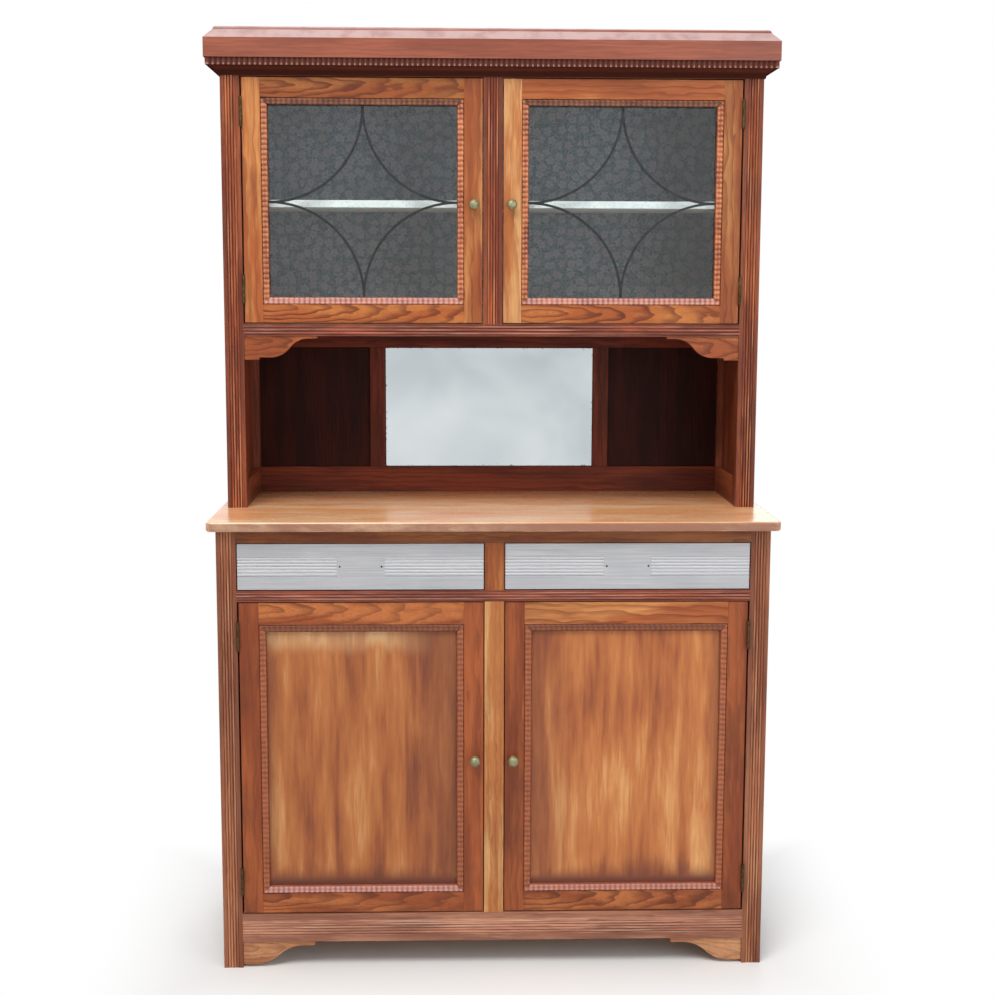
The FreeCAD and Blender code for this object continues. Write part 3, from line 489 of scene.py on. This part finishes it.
def panel_wood(name, bald, pale, light, middle, dark):
    """Door panel wiped half bare in long strokes, with the earlier stain left at its edges and foot, and a
    painted shade along its sides by the frame.

    The left one is bald along its head.
    """
    graph = Finish(name)
    bald, pale, light, middle, dark = palette(bald, pale, light, middle, dark)
    stroke = graph.along_grain(0.15, 19.0, 6.0, 0.55, 0.4)
    patch = graph.along_grain(0.45, 6.0, 3.0, 0.5)
    fine = graph.along_grain(0.1, 64.0, 4.0, 0.55)
    streak = graph.along_grain(0.05, 170.0, 3.0, 0.6)
    broad = graph.plus(graph.times(stroke, 0.6), graph.times(patch, 0.4))
    paling = graph.plus(broad, graph.straight(fine, 0.3, 0.7, -0.06, 0.06))
    wipe = graph.plus(paling, graph.straight(streak, 0.3, 0.7, -0.03, 0.03))
    wiped = graph.ramp(wipe, [(0.28, dark), (0.42, middle), (0.54, light), (0.68, pale)])
    foot, side, head = graph.margins()
    drift = graph.straight(stroke, 0.3, 0.7, -40 * MM, 40 * MM)
    ragged = graph.plus(graph.times(drift, 0.35), graph.spread(fine, 0.3, 0.7, -5 * MM, 5 * MM))
    near_head = graph.spread(graph.plus(head, ragged), 30 * MM, 62 * MM, 0.72, 0.0)
    bare = graph.times(near_head, graph.spread(stroke, 0.36, 0.56, 0.45, 1.0))
    across = graph.split(graph.place())[0]
    on_left = graph.spread(graph.plus(across, drift), -240 * MM, -120 * MM, 1.0, 0.0)
    bared = graph.mix(graph.times(bare, on_left), wiped, bald)
    to_middle = graph.size_of(across)
    # Each stain's distance, its reach and its share at the start; the side entry without drift is a painted
    # shade along the frame
    stains_and_shade = ((graph.plus(foot, drift), 75 * MM, 0.9), (foot, 62 * MM, 1.5),
              (graph.plus(side, drift), 26 * MM, 0.5), (side, 45 * MM, 0.9),
              (graph.plus(to_middle, drift), 215 * MM, 0.85))
    shade = 0.0
    for distance, reach, share in stains_and_shade:
        shade = graph.most(shade, graph.spread(distance, -4 * MM, reach, share, 0.0))
    stained = graph.mix(shade, bared, dark)
    fibre = graph.along_grain(0.02, 600.0, 3.0, 0.65)
    grained = graph.mix(graph.spread(fibre, 0.45, 0.75, 0.0, 0.2), stained, dark)
    rough = graph.straight(stroke, 0.3, 0.7, 0.4, 0.62)
    return graph.done(graph.toned(grained), rough, fibre, bump=0.2, Specular_IOR_Level=0.3)


def brushed_paint(name):
    """Thin grey paint, streaked along the drawer front, with a painted highlight on its reeds and painted
    shade in their valleys.
    """
    graph = Finish(name)
    dull, plain, bright, grey, ridge, valley = palette((162, 162, 165), (177, 177, 180), (194, 194, 197),
                                                       (158, 160, 164), (206, 206, 209), (148, 149, 153))
    place = graph.place()
    streak = graph.noise(graph.scaled(place, (0.012, 1.0, 1.0)), 480.0, 3.0, 0.6)
    broad = graph.noise(graph.scaled(place, (0.4, 1.0, 1.0)), 18.0, 3.0)
    base = graph.ramp(streak, [(0.3, dull), (0.5, plain), (0.72, bright)])
    clouded = graph.mix(graph.spread(broad, 0.4, 0.7, 0.0, 0.4), base, grey)
    depth = graph.carried("depth", "Fac")
    reeded = graph.math("LESS_THAN", depth, REED_DEEP)
    # Painted highlight on the reeds' crests
    paling = graph.times(graph.spread(depth, 0.01 * MM, 0.15 * MM, 0.0, 0.7), reeded)
    # Painted shade in the reeds' valleys
    valley_shade = graph.times(graph.spread(depth, 0.9 * MM, 1.9 * MM), reeded)
    final = graph.mix(graph.times(valley_shade, 0.55), graph.mix(paling, clouded, ridge), valley)
    rough = graph.straight(streak, 0.3, 0.7, 0.38, 0.6)
    return graph.done(final, rough, streak, bump=0.08, Specular_IOR_Level=0.3)


def floral_paper(name):
    """Lining paper: mauve-grey five-petalled flowers and small leaves on a slate blue ground."""
    graph = Finish(name)
    flat = graph.scaled(graph.place(), (1.0, 0.0, 1.0))

    def motif(spacing, reach, lobes, waist, shift):
        """How far a spot lies in the nearest motif, how far from its middle, and the motif's kind."""
        moved = graph.vector("ADD", flat, shift)
        cells = graph.add("ShaderNodeTexVoronoi", {"Vector": moved, "Scale": 1 / spacing, "Randomness": 0.75})
        local = graph.vector("SUBTRACT", moved, cells.outputs["Position"])
        x, _, z = graph.split(local)
        turn, kind, _ = graph.split(cells.outputs["Color"])
        angle = graph.plus(graph.math("ARCTAN2", z, x), graph.times(turn, SPIN))
        petal = graph.math("COSINE", graph.times(angle, lobes))
        limit = graph.straight(petal, -1.0, 1.0, reach * waist, reach)
        level = graph.scaled(local, (1.0, 0.0, 1.0))
        radius = graph.add("ShaderNodeVectorMath", {0: level}, operation="LENGTH").outputs["Value"]
        return graph.minus(limit, radius), radius, kind

    ground = graph.mix(graph.noise(flat, 240.0), linear(88, 103, 117), linear(118, 131, 143))
    wander = graph.size_of(graph.minus(graph.noise(flat, 120.0, 3.0, 0.6), 0.5))
    stems = graph.mix(graph.spread(wander, 0.012, 0.04, 0.85, 0.0), ground, linear(38, 50, 56))
    leaf, _, _ = motif(8.5 * MM, 3.6 * MM, 2.0, 0.2, (0.3, 0.0, 0.1))
    leaves = graph.mix(graph.spread(leaf, -0.5 * MM, 0.5 * MM, 0.0, 0.8), stems, linear(40, 53, 58))
    spray, _, _ = motif(14 * MM, 5.0 * MM, 3.0, 0.3, (0.7, 0.0, 0.4))
    sprays = graph.mix(graph.spread(spray, -0.5 * MM, 0.5 * MM, 0.0, 0.7), leaves, linear(120, 130, 136))
    flower, radius, kind = motif(25 * MM, 10.5 * MM, 5.0, 0.72, (0.0, 0.0, 0.0))
    tint = graph.mix(kind, linear(140, 129, 135), linear(160, 163, 170))
    mottle = graph.spread(graph.noise(flat, 230.0, 2.0), 0.4, 0.65, 0.0, 0.5)
    petals = graph.mix(mottle, tint, linear(100, 100, 108))
    share = graph.times(graph.spread(flower, -0.6 * MM, 0.9 * MM), graph.spread(kind, 0.0, 1.0, 0.95, 0.6))
    flowers = graph.mix(share, sprays, petals)
    rim = graph.spread(graph.size_of(flower), 0.2 * MM, 1.0 * MM, 0.4, 0.0)
    rimmed = graph.mix(rim, flowers, linear(54, 62, 66))
    from_ring = graph.size_of(graph.minus(radius, 2.6 * MM))
    final = graph.mix(graph.spread(from_ring, 0.3 * MM, 0.9 * MM, 0.5, 0.0), rimmed, linear(66, 66, 72))
    rough = graph.straight(graph.noise(flat, 90.0), 0.3, 0.7, 0.7, 0.85)
    return graph.done(final, rough, Specular_IOR_Level=0.3)


def white_paint(name):
    """Old white gloss on the shelf, with grey-green specks."""
    graph = Finish(name)
    place = graph.place()
    cloud = graph.noise(place, 30.0, 4.0)
    ground = graph.ramp(cloud, [(0.3, linear(218, 220, 222)), (0.7, linear(240, 241, 242))])
    specks = graph.spread(graph.noise(place, 230.0, 2.0, 0.5), 0.58, 0.66, 0.0, 0.45)
    colour = graph.mix(specks, ground, linear(138, 152, 150))
    return graph.done(colour, graph.straight(cloud, 0.3, 0.7, 0.35, 0.5), cloud, bump=0.1)


def metal(name, bright, dull, metallic, rough):
    """Metal with patches of patina, given its roughness where bright and where dull."""
    graph = Finish(name)
    place = graph.place()
    patina = graph.noise(place, 160.0, 5.0, 0.65)
    colour = graph.ramp(patina, [(0.35, linear(*dull)), (0.65, linear(*bright))])
    roughness = graph.straight(patina, 0.3, 0.7, rough[1], rough[0])
    fine = graph.noise(place, 960.0, 2.0)
    return graph.done(colour, roughness, fine, bump=0.15, Metallic=metallic)


def clear_glass(name):
    """Window glass that lets light through to the shelves behind it."""
    graph = Finish(name)
    ripple = graph.noise(graph.place(), 9.0, 1.0)
    graph.done((0.92, 0.96, 0.95, 1), 0.02, ripple, bump=0.04, distance=1 * MM, IOR=1.45,
               Transmission_Weight=1.0)
    path = graph.add("ShaderNodeLightPath", {})
    clear = graph.add("ShaderNodeBsdfTransparent", {"Color": (0.94, 0.97, 0.96, 1)})
    passed = graph.most(path.outputs["Is Shadow Ray"], path.outputs["Is Diffuse Ray"])
    graph.set(graph.surface, graph.blend(passed, graph.shader, clear))
    return graph.material


def mirror_plate(name):
    """Old silvered plate: hazy, spotted near its edges."""
    graph = Finish(name)
    place = graph.place()
    foot, side, head = graph.margins()
    near = graph.least(graph.least(foot, side), head)
    haze = graph.noise(place, 5.0, 2.0, 0.45, 0.6)
    silver = graph.ramp(haze, [(0.3, linear(186, 193, 197)), (0.7, linear(216, 222, 224))])
    specks = graph.noise(place, 150.0, 5.0, 0.7)
    spots = graph.plus(specks, graph.spread(near, 0.0, 14 * MM, -0.12, 0.1))
    spotted = graph.mix(graph.spread(spots, 0.26, 0.36, 0.8, 0.0), silver, linear(84, 82, 76))
    return graph.done(spotted, graph.spread(haze, 0.3, 0.8, 0.02, 0.06), Metallic=1.0)


# Finishes; the first colours of a wood go from light to dark
materials = {
    "case": wood("case_wood", (152, 80, 48), (118, 58, 36), (70, 30, 21), ring=7 * MM, figure=0.5),
    # valley_shade_share paints shade in the reeds' valleys; the ridge colour is wear and a painted highlight
    "reeded": reeded_wood("reeded_wood", (176, 92, 52), (130, 60, 35), (66, 27, 19), ridge=(214, 146, 102),
                          margin=9 * MM, valley_shade_share=0.7, upright=True),
    "reeded_rail": reeded_wood("reeded_rail_wood", (164, 86, 60), (126, 62, 44), (74, 33, 25),
                               ridge=(200, 142, 120), margin=2 * MM, valley_shade_share=0.4, upright=False),
    # The cornice's lightening colour is a painted sheen on its up faces; below it takes painted shade
    "cornice": wood("cornice_wood", (158, 84, 58), (138, 68, 46), (94, 42, 28), ring=9 * MM, figure=0.35,
                    blotch=0.35, shine=(0.26, 0.45), lightening=(198, 170, 168), gloss=0.5),
    "base_reeded": reeded_wood("base_reeded_wood", (182, 114, 78), (144, 82, 54), (84, 42, 29),
                               ridge=(210, 160, 124), margin=9 * MM, valley_shade_share=0.7, upright=True),
    "reeded_foot": reeded_wood("reeded_foot_wood", (200, 138, 108), (164, 108, 84), (92, 48, 36),
                               ridge=(220, 176, 150), margin=14 * MM, valley_shade_share=0.5, upright=False),
    "recess": wood("recess_wood", (116, 50, 30), (86, 36, 22), (46, 19, 13), ring=8 * MM, figure=0.5,
                   gloss=0.15),
    "upper_stile": wood("upper_stile_wood", (218, 146, 84), (180, 98, 50), (120, 54, 28), ring=9 * MM,
                        figure=0.7, blotch=0.55),
    "upper_rail": wood("upper_rail_wood", (198, 122, 62), (176, 94, 44), (104, 42, 19), ring=9 * MM,
                       figure=1.0, blotch=0.2),
    "pale_stile": wood("pale_stile_wood", (232, 172, 112), (196, 116, 60), (148, 78, 38), ring=9 * MM,
                       figure=0.5),
    "lower_stile": wood("lower_stile_wood", (156, 82, 42), (130, 62, 31), (84, 37, 20), ring=10 * MM,
                        figure=0.4, blotch=0.6),
    "lower_rail": wood("lower_rail_wood", (178, 104, 56), (142, 72, 36), (86, 37, 19), ring=10 * MM,
                       figure=0.8),
    "divider": wood("divider_wood", (184, 112, 58), (152, 80, 38), (92, 42, 22), ring=8 * MM, figure=0.5,
                    blotch=0.5),
    "bracket": wood("bracket_wood", (202, 146, 104), (172, 114, 76), (116, 64, 40), ring=8 * MM),
    "panel": panel_wood("panel_wood", bald=(218, 178, 130), pale=(212, 156, 100), light=(184, 114, 64),
                        middle=(160, 90, 50), dark=(104, 56, 43)),
    # back_shade paints the shade under the hutch at the worktop's back
    "worktop": plank_wood("worktop_wood", (255, 222, 178), (255, 194, 136), (238, 148, 90), seam=(96, 46, 25),
                          edge=(146, 92, 66), axis=1, shine=(0.19, 0.3), gloss=0.9, back_shade=0.72),
    "pale": wood("pale_wood", (216, 164, 106), (184, 116, 64), (130, 68, 36), figure=0.5, blotch=0.5,
                 shine=(0.5, 0.7)),
    # Ripple colours: the crest is a painted highlight, the groove a painted shade
    "upper_ripple": ripple_wood("upper_ripple_wood", (206, 132, 88), (160, 86, 50), (104, 46, 28)),
    "lower_ripple": ripple_wood("lower_ripple_wood", (168, 95, 58), (154, 83, 49), (134, 67, 40)),
    # paling paints highlights on the crests near the foot; faces that face down take painted shade
    "cornice_ripple": ripple_wood("cornice_ripple_wood", (106, 60, 48), (94, 50, 39), (78, 39, 31),
                                  paling=0.7, gloss=0.1),
    # Dark stain of the recess panels, darkened further as painted shade of the recess
    "dark": wood("dark_shaded_wood", (58, 21, 14), (42, 15, 10), (24, 9, 7), ring=8 * MM, figure=0.5, blotch=0.5,
                 shine=(0.45, 0.65), gloss=0.1),
    "inner": wood("inner_wood", (196, 152, 104), (172, 124, 80), (130, 84, 50), ring=8 * MM, blotch=0.3,
                  shine=(0.6, 0.8)),
    "back": plank_wood("back_wood", (196, 152, 104), (174, 126, 82), (126, 82, 50), seam=(60, 38, 24),
                       edge=(150, 104, 66), axis=2, shine=(0.5, 0.72), gloss=0.3),
    "paint": brushed_paint("drawer_paint"),
    "paper": floral_paper("floral_paper"),
    "white": white_paint("shelf_paint"),
    "glass": clear_glass("clear_glass"),
    "mirror": mirror_plate("mirror_plate"),
    "lead": metal("lead_came", (52, 54, 56), (28, 30, 32), metallic=0.6, rough=(0.4, 0.6)),
    "brass": metal("knob_brass", (160, 155, 118), (116, 113, 84), metallic=0.7, rough=(0.45, 0.65)),
    "dull_brass": metal("hinge_brass", (100, 80, 54), (58, 46, 34), metallic=1.0, rough=(0.4, 0.65)),
}


def solids(node):
    """The closed pieces of a node, each a list of corner rings in mm, in the order they were built."""
    mesh = frame["nodes"][node].data
    corners = [tuple(round(value / MM, 4) for value in vertex.co) for vertex in mesh.vertices]
    pieces = []
    rings = []
    loose = set()
    for polygon in mesh.polygons:
        ring = [corners[index] for index in polygon.vertices]
        for start, end in zip(ring, ring[1:] + ring[:1]):
            if start != end:
                loose ^= {frozenset((start, end))}
        rings.append(ring)
        if not loose:
            pieces.append(rings)
            rings = []
    return pieces


def board_shape(rings, width):
    """One closed piece with shared corners, flat sides as single faces and eased edges."""
    shape = bmesh.new()
    points = {}
    for ring in rings:
        for corner in ring:
            if corner not in points:
                points[corner] = shape.verts.new(Vector(corner) * MM)
        if len(set(ring)) == len(ring):
            shape.faces.new([points[corner] for corner in ring])
    bmesh.ops.dissolve_limit(shape, angle_limit=math.radians(FLAT_ANGLE), verts=shape.verts,
                             edges=shape.edges)
    bmesh.ops.recalc_face_normals(shape, faces=shape.faces)
    eased = math.radians(EASED_ANGLE)
    sharp = [edge for edge in shape.edges if edge.is_manifold and edge.calc_face_angle() > eased]
    bmesh.ops.bevel(shape, geom=sharp, offset=width, offset_type="OFFSET", segments=EDGE_STEPS, profile=0.5,
                    affect="EDGES", clamp_overlap=True)
    return shape


def bounds_of(shape):
    """The least and the greatest corner of a shape."""
    low = Vector(min(vertex.co[axis] for vertex in shape.verts) for axis in range(3))
    high = Vector(max(vertex.co[axis] for vertex in shape.verts) for axis in range(3))
    return low, high


class Piece:
    """The one visible piece that stands for a node: boards joined, each corner with what its finish reads."""

    def __init__(self, node):
        self.node = node
        self.shape = bmesh.new()
        layers = self.shape.verts.layers
        self.grain = layers.float_vector.new("grain")
        self.inside = layers.float_vector.new("inside")
        self.size = layers.float_vector.new("size")
        self.depth = layers.float.new("depth")
        self.tone = layers.float.new("tone")
        self.finishes = []
        self.chance = random.Random(node)

    def add(self, shape, finish, flame=False, tone=1.0, relief=None, behind=None):
        """Takes in a board; its grain runs along its longest side, off a pith of its own.

        The finish behind, where given, goes on all but its front.
        """
        low, high = bounds_of(shape)
        size = high - low
        centre = (low + high) / 2
        thin, wide, long = sorted(range(3), key=lambda axis: size[axis])
        pick = self.chance.uniform
        if flame:
            lean = pick(*FLAME_LEAN)
            pith = (pick(*FLAME_ASIDE) * size[wide], lean * size[long] / 2 + pick(*FLAME_DEEP) * MM)
        else:
            pith = (pick(*PLAIN_ASIDE) * size[wide], pick(*PLAIN_DEEP) * MM)
            lean = pick(*PLAIN_LEAN)
        start = pick(*GRAIN_START)
        tone *= pick(*TONE_RANGE)
        for name in (finish, behind or finish):
            if name not in self.finishes:
                self.finishes.append(name)
        copies = {}
        for vertex in shape.verts:
            copy = self.shape.verts.new(vertex.co)
            off = vertex.co - centre
            copy[self.grain] = (off[wide] + pith[0], off[thin] + pith[1] + lean * off[long],
                                off[long] + start)
            copy[self.inside] = vertex.co - low
            copy[self.size] = size
            copy[self.depth] = relief(vertex) if relief else vertex.co.y - low.y
            copy[self.tone] = tone
            copies[vertex] = copy
        for face in shape.faces:
            made = self.shape.faces.new([copies[vertex] for vertex in face.verts])
            inner = face.normal.y > FRONT_FACING and face.calc_center_median().y > low.y + FRONT_SKIN
            made.material_index = self.finishes.index(behind if behind and inner else finish)
            made.smooth = True
        shape.free()

    def show(self, sharp=BOARD_SHARP):
        """Puts the piece in the scene, round where its faces meet at less than the sharp angle."""
        mesh = bpy.data.meshes.new(f"{self.node}.dressed")
        self.shape.to_mesh(mesh)
        self.shape.free()
        mesh.set_sharp_from_angle(angle=math.radians(sharp))
        for finish in self.finishes:
            mesh.materials.append(materials[finish])
        item = bpy.data.objects.new(mesh.name, mesh)
        scene.collection.objects.link(item)
        even = item.modifiers.new("even_sides", "WEIGHTED_NORMAL")
        even.keep_sharp = True
        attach(item, body_of[self.node])
        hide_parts(self.node)


def boards(node, finish, width=BOARD_EDGE, sharp=BOARD_SHARP, behind=None):
    """Dresses each board of a node by itself, with its own finish and tone where several are given."""
    piece = Piece(node)
    finishes = [finish] if isinstance(finish, str) else finish
    tones = TONES.get(node, (1.0,))
    for rings, chosen, tone in zip(solids(node), itertools.cycle(finishes), itertools.cycle(tones)):
        shape = board_shape(rings, width)
        shape.normal_update()
        piece.add(shape, chosen, chosen in FLAMED, tone, behind=behind)
    piece.show(sharp)


def ripple_strip(length, width, thick):
    """One mitred side of a ripple moulding: two round rolls, waved along their length."""
    shape = bmesh.new()
    count = max(1, round(length / RIPPLE_PITCH))
    along = [length * index / (count * RIPPLE_STEPS) for index in range(count * RIPPLE_STEPS + 1)]
    across = [width * index / ROLL_STEPS for index in range(ROLL_STEPS + 1)]
    grid = []
    for t in across:
        least = GROOVE_HEIGHT if ROLL_CRESTS[0] < t / width < ROLL_CRESTS[1] else 0.0
        roll = max(abs(math.sin(2 * math.pi * t / width)), least) ** ROLL_ROUND
        line = []
        for s in along:
            wave = (0.5 - 0.5 * math.cos(2 * math.pi * count * s / length)) ** WAVE_ROUND
            sink = RIPPLE_DEEP * (1 - roll * (WAVE_HEIGHT + (1 - WAVE_HEIGHT) * wave))
            line.append(shape.verts.new((min(max(s, t), length - t), sink, t)))
        grid.append(line)
    for near, far in zip(grid, grid[1:]):
        for index in range(len(along) - 1):
            shape.faces.new((near[index], near[index + 1], far[index + 1], far[index]))
    backs = [[shape.verts.new((line[index].co.x, thick, line[index].co.z)) for index in (0, -1)]
             for line in (grid[0], grid[-1])]
    shape.faces.new([backs[0][0], backs[1][0], backs[1][1], backs[0][1]])
    shape.faces.new(list(grid[0]) + [backs[0][1], backs[0][0]])
    shape.faces.new(list(reversed(grid[-1])) + [backs[1][0], backs[1][1]])
    shape.faces.new([line[0] for line in reversed(grid)] + [backs[0][0], backs[1][0]])
    shape.faces.new([line[-1] for line in grid] + [backs[1][1], backs[0][1]])
    bmesh.ops.remove_doubles(shape, verts=shape.verts, dist=WELD)
    bmesh.ops.recalc_face_normals(shape, faces=shape.faces)
    return shape


def ripple_frame(node, row):
    """Four mitred ripple strips in the space that the node holds."""
    low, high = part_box(node)
    thick = high.y - low.y
    wide = high.x - low.x
    tall = high.z - low.z
    sides = ((wide, (low.x, low.z), 0), (wide, (high.x, high.z), 180),
             (tall, (low.x, high.z), 90), (tall, (high.x, low.z), -90))
    piece = Piece(node)
    for (length, corner, degrees), tone in zip(sides, RIPPLE_TONES_AND_LIGHT[row]):
        shape = ripple_strip(length, RIPPLE_WIDE, thick)
        spin = Matrix.Rotation(math.radians(degrees), 4, "Y")
        shape.transform(Matrix.Translation((corner[0], low.y, corner[1])) @ spin)
        piece.add(shape, f"{row}_ripple", tone=tone,
                  relief=lambda vertex: max(RIPPLE_RELIEF, 1 - (vertex.co.y - low.y) / RIPPLE_DEEP))
    piece.show(RIPPLE_SHARP)


def cornice_strips():
    """The ripple strips under the cornice, whose crests point out of the case."""
    node = "cornice_ripple"
    piece = Piece(node)
    for rings in solids(node):
        shape = board_shape(rings, THIN_EDGE)
        low, high = bounds_of(shape)
        if high.x - low.x > high.y - low.y:
            crest, axis = low.y, 1
        else:
            crest, axis = (low.x if low.x < 0 else high.x), 0
        tops = {vertex: 1 - abs(vertex.co[axis] - crest) / STRIP_DEEP for vertex in shape.verts}
        piece.add(shape, "cornice_ripple", relief=lambda vertex: max(0.0, tops[vertex]))
    piece.show(STRIP_SHARP)


def knob(node):
    """Turned knob: rose, waisted neck and domed head."""
    low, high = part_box(node)
    head = (high.x - low.x) / 2
    reach = high.y - low.y
    centre = (low + high) / 2
    shape = bmesh.new()
    rings = []
    for radius, out in KNOB_PROFILE:
        ring = []
        for step in range(KNOB_SEGMENTS):
            angle = 2 * math.pi * step / KNOB_SEGMENTS
            ring.append(shape.verts.new((centre.x + radius * head * math.cos(angle), high.y - out * reach,
                                         centre.z + radius * head * math.sin(angle))))
        rings.append(ring)
    for near, far in zip(rings, rings[1:]):
        for step in range(KNOB_SEGMENTS):
            after = (step + 1) % KNOB_SEGMENTS
            shape.faces.new((near[step], near[after], far[after], far[step]))
    shape.faces.new(rings[0])
    tip = shape.verts.new((centre.x, low.y, centre.z))
    for step in range(KNOB_SEGMENTS):
        shape.faces.new((rings[-1][step], rings[-1][(step + 1) % KNOB_SEGMENTS], tip))
    bmesh.ops.recalc_face_normals(shape, faces=shape.faces)
    piece = Piece(node)
    piece.add(shape, "brass")
    piece.show(KNOB_SHARP)


def dress():
    """Finishes every node."""
    boards("hutch_front_posts", "reeded")
    boards("hutch_muntin", "reeded")
    for node in ("hutch_bottom_rail", "mid_rail"):
        boards(node, "reeded_rail")
    boards("base_front_posts", "base_reeded")
    boards("bottom_rail", "reeded_foot")
    for node in CASE_NODES:
        boards(node, "case")
    boards("hutch_brackets", "lower_rail")
    boards("frieze_rail", "divider")
    boards("foot_brackets", "bracket")
    boards("cornice", "cornice")
    boards("worktop", "worktop")
    boards("base_muntins", ("pale", "divider"))
    boards("recess_back_frame", "recess")
    boards("recess_back_panels", "dark")
    for node in INNER_NODES:
        boards(node, "inner")
    boards("hutch_shelf", "white")
    boards("hutch_back_panel", "paper", behind="back")
    boards("base_back_boards", "inner", width=BACK_BOARD_EDGE)
    boards("mirror", "mirror", width=MIRROR_EDGE, sharp=PLATE_SHARP)
    for side in ("left", "right"):
        boards(f"{side}_drawer_front", "paint", behind="inner")
        for row in ("upper", "lower"):
            door = f"{row}_{side}_door"
            boards(f"{door}_frame", FRAMES[door])
            ripple_frame(f"{door}_ripple", row)
            knob(f"{door}_knob")
            boards(f"{door}_hinge_leaves", "dull_brass", width=THIN_EDGE)
        boards(f"upper_{side}_door_glass", "glass", width=GLASS_EDGE, sharp=PLATE_SHARP)
        boards(f"upper_{side}_door_came", "lead", width=GLASS_EDGE)
        boards(f"lower_{side}_door_panel", "panel", behind="inner")
    cornice_strips()
    boards("hinge_frame_leaves", "dull_brass", width=THIN_EDGE)


def floor():
    """Pale floor that fades to white away from the dresser."""
    mesh = bpy.data.meshes.new("floor")
    corners = [(-FLOOR_HALF, -FLOOR_HALF, 0), (FLOOR_HALF, -FLOOR_HALF, 0), (FLOOR_HALF, FLOOR_HALF, 0),
               (-FLOOR_HALF, FLOOR_HALF, 0)]
    mesh.from_pydata(corners, [], [(0, 1, 2, 3)])
    plane = bpy.data.objects.new("floor", mesh)
    scene.collection.objects.link(plane)
    graph = Finish("floor")
    place = graph.place()
    graph.done(graph.ramp(graph.noise(place, 2.0), list(zip((0.0, 1.0), FLOOR_TONES))), 0.9)
    x, y, _ = graph.split(place)
    beside = graph.minus(graph.size_of(x), FLOOR_PLAN[0])
    before = graph.minus(graph.size_of(y), FLOOR_PLAN[1])
    fade = graph.times(graph.spread(graph.most(beside, before), *FLOOR_FADE), graph.white_rays())
    glow = graph.add("ShaderNodeEmission", {"Color": WHITE, "Strength": 1.0})
    graph.set(graph.surface, graph.blend(fade, graph.shader, glow))
    mesh.materials.append(graph.material)


def world():
    """White to the eye, soft daylight to the object."""
    sky = bpy.data.worlds.new("studio")
    scene.world = sky
    sky.use_nodes = True
    sky.node_tree.nodes.clear()
    graph = Nodes(sky.node_tree)
    height = graph.split(graph.add("ShaderNodeTexCoord", {}).outputs["Generated"])[2]
    level = graph.straight(height, *DAYLIGHT_HEIGHTS, *DAYLIGHT_LEVELS)
    light = graph.add("ShaderNodeBackground", {"Color": DAYLIGHT, "Strength": level})
    white = graph.add("ShaderNodeBackground", {"Color": WHITE})
    graph.add("ShaderNodeOutputWorld", {0: graph.blend(graph.white_rays(), light, white)})


def lamp(name, place, target, size, watts, colour):
    """A soft box that faces the object."""
    data = bpy.data.lights.new(name, "AREA")
    data.shape = "DISK"
    data.size = size
    data.energy = watts
    data.color = colour
    item = bpy.data.objects.new(name, data)
    item.location = place
    item.rotation_euler = (Vector(target) - Vector(place)).to_track_quat("-Z", "Y").to_euler()
    scene.collection.objects.link(item)


def camera():
    """The photograph's view."""
    ahead = Vector((math.sin(CAMERA_YAW), math.cos(CAMERA_YAW), 0))
    right = Vector((math.cos(CAMERA_YAW), -math.sin(CAMERA_YAW), 0))
    look = ahead * math.cos(CAMERA_PITCH) - Vector((0, 0, math.sin(CAMERA_PITCH)))
    up = ahead * math.sin(CAMERA_PITCH) + Vector((0, 0, math.cos(CAMERA_PITCH)))
    level = right * math.cos(CAMERA_ROLL) + up * math.sin(CAMERA_ROLL)
    top = up * math.cos(CAMERA_ROLL) - right * math.sin(CAMERA_ROLL)
    data = bpy.data.cameras.new("camera")
    data.sensor_width = SENSOR
    data.lens = FOCAL_PIXELS / PHOTO_HEIGHT * SENSOR
    item = bpy.data.objects.new("camera", data)
    item.matrix_world = Matrix((level, top, -look)).transposed().to_4x4()
    item.location = CAMERA_PLACE
    scene.collection.objects.link(item)
    scene.camera = item


dress()
floor()
world()
for entry in LAMPS:
    lamp(*entry)
camera()
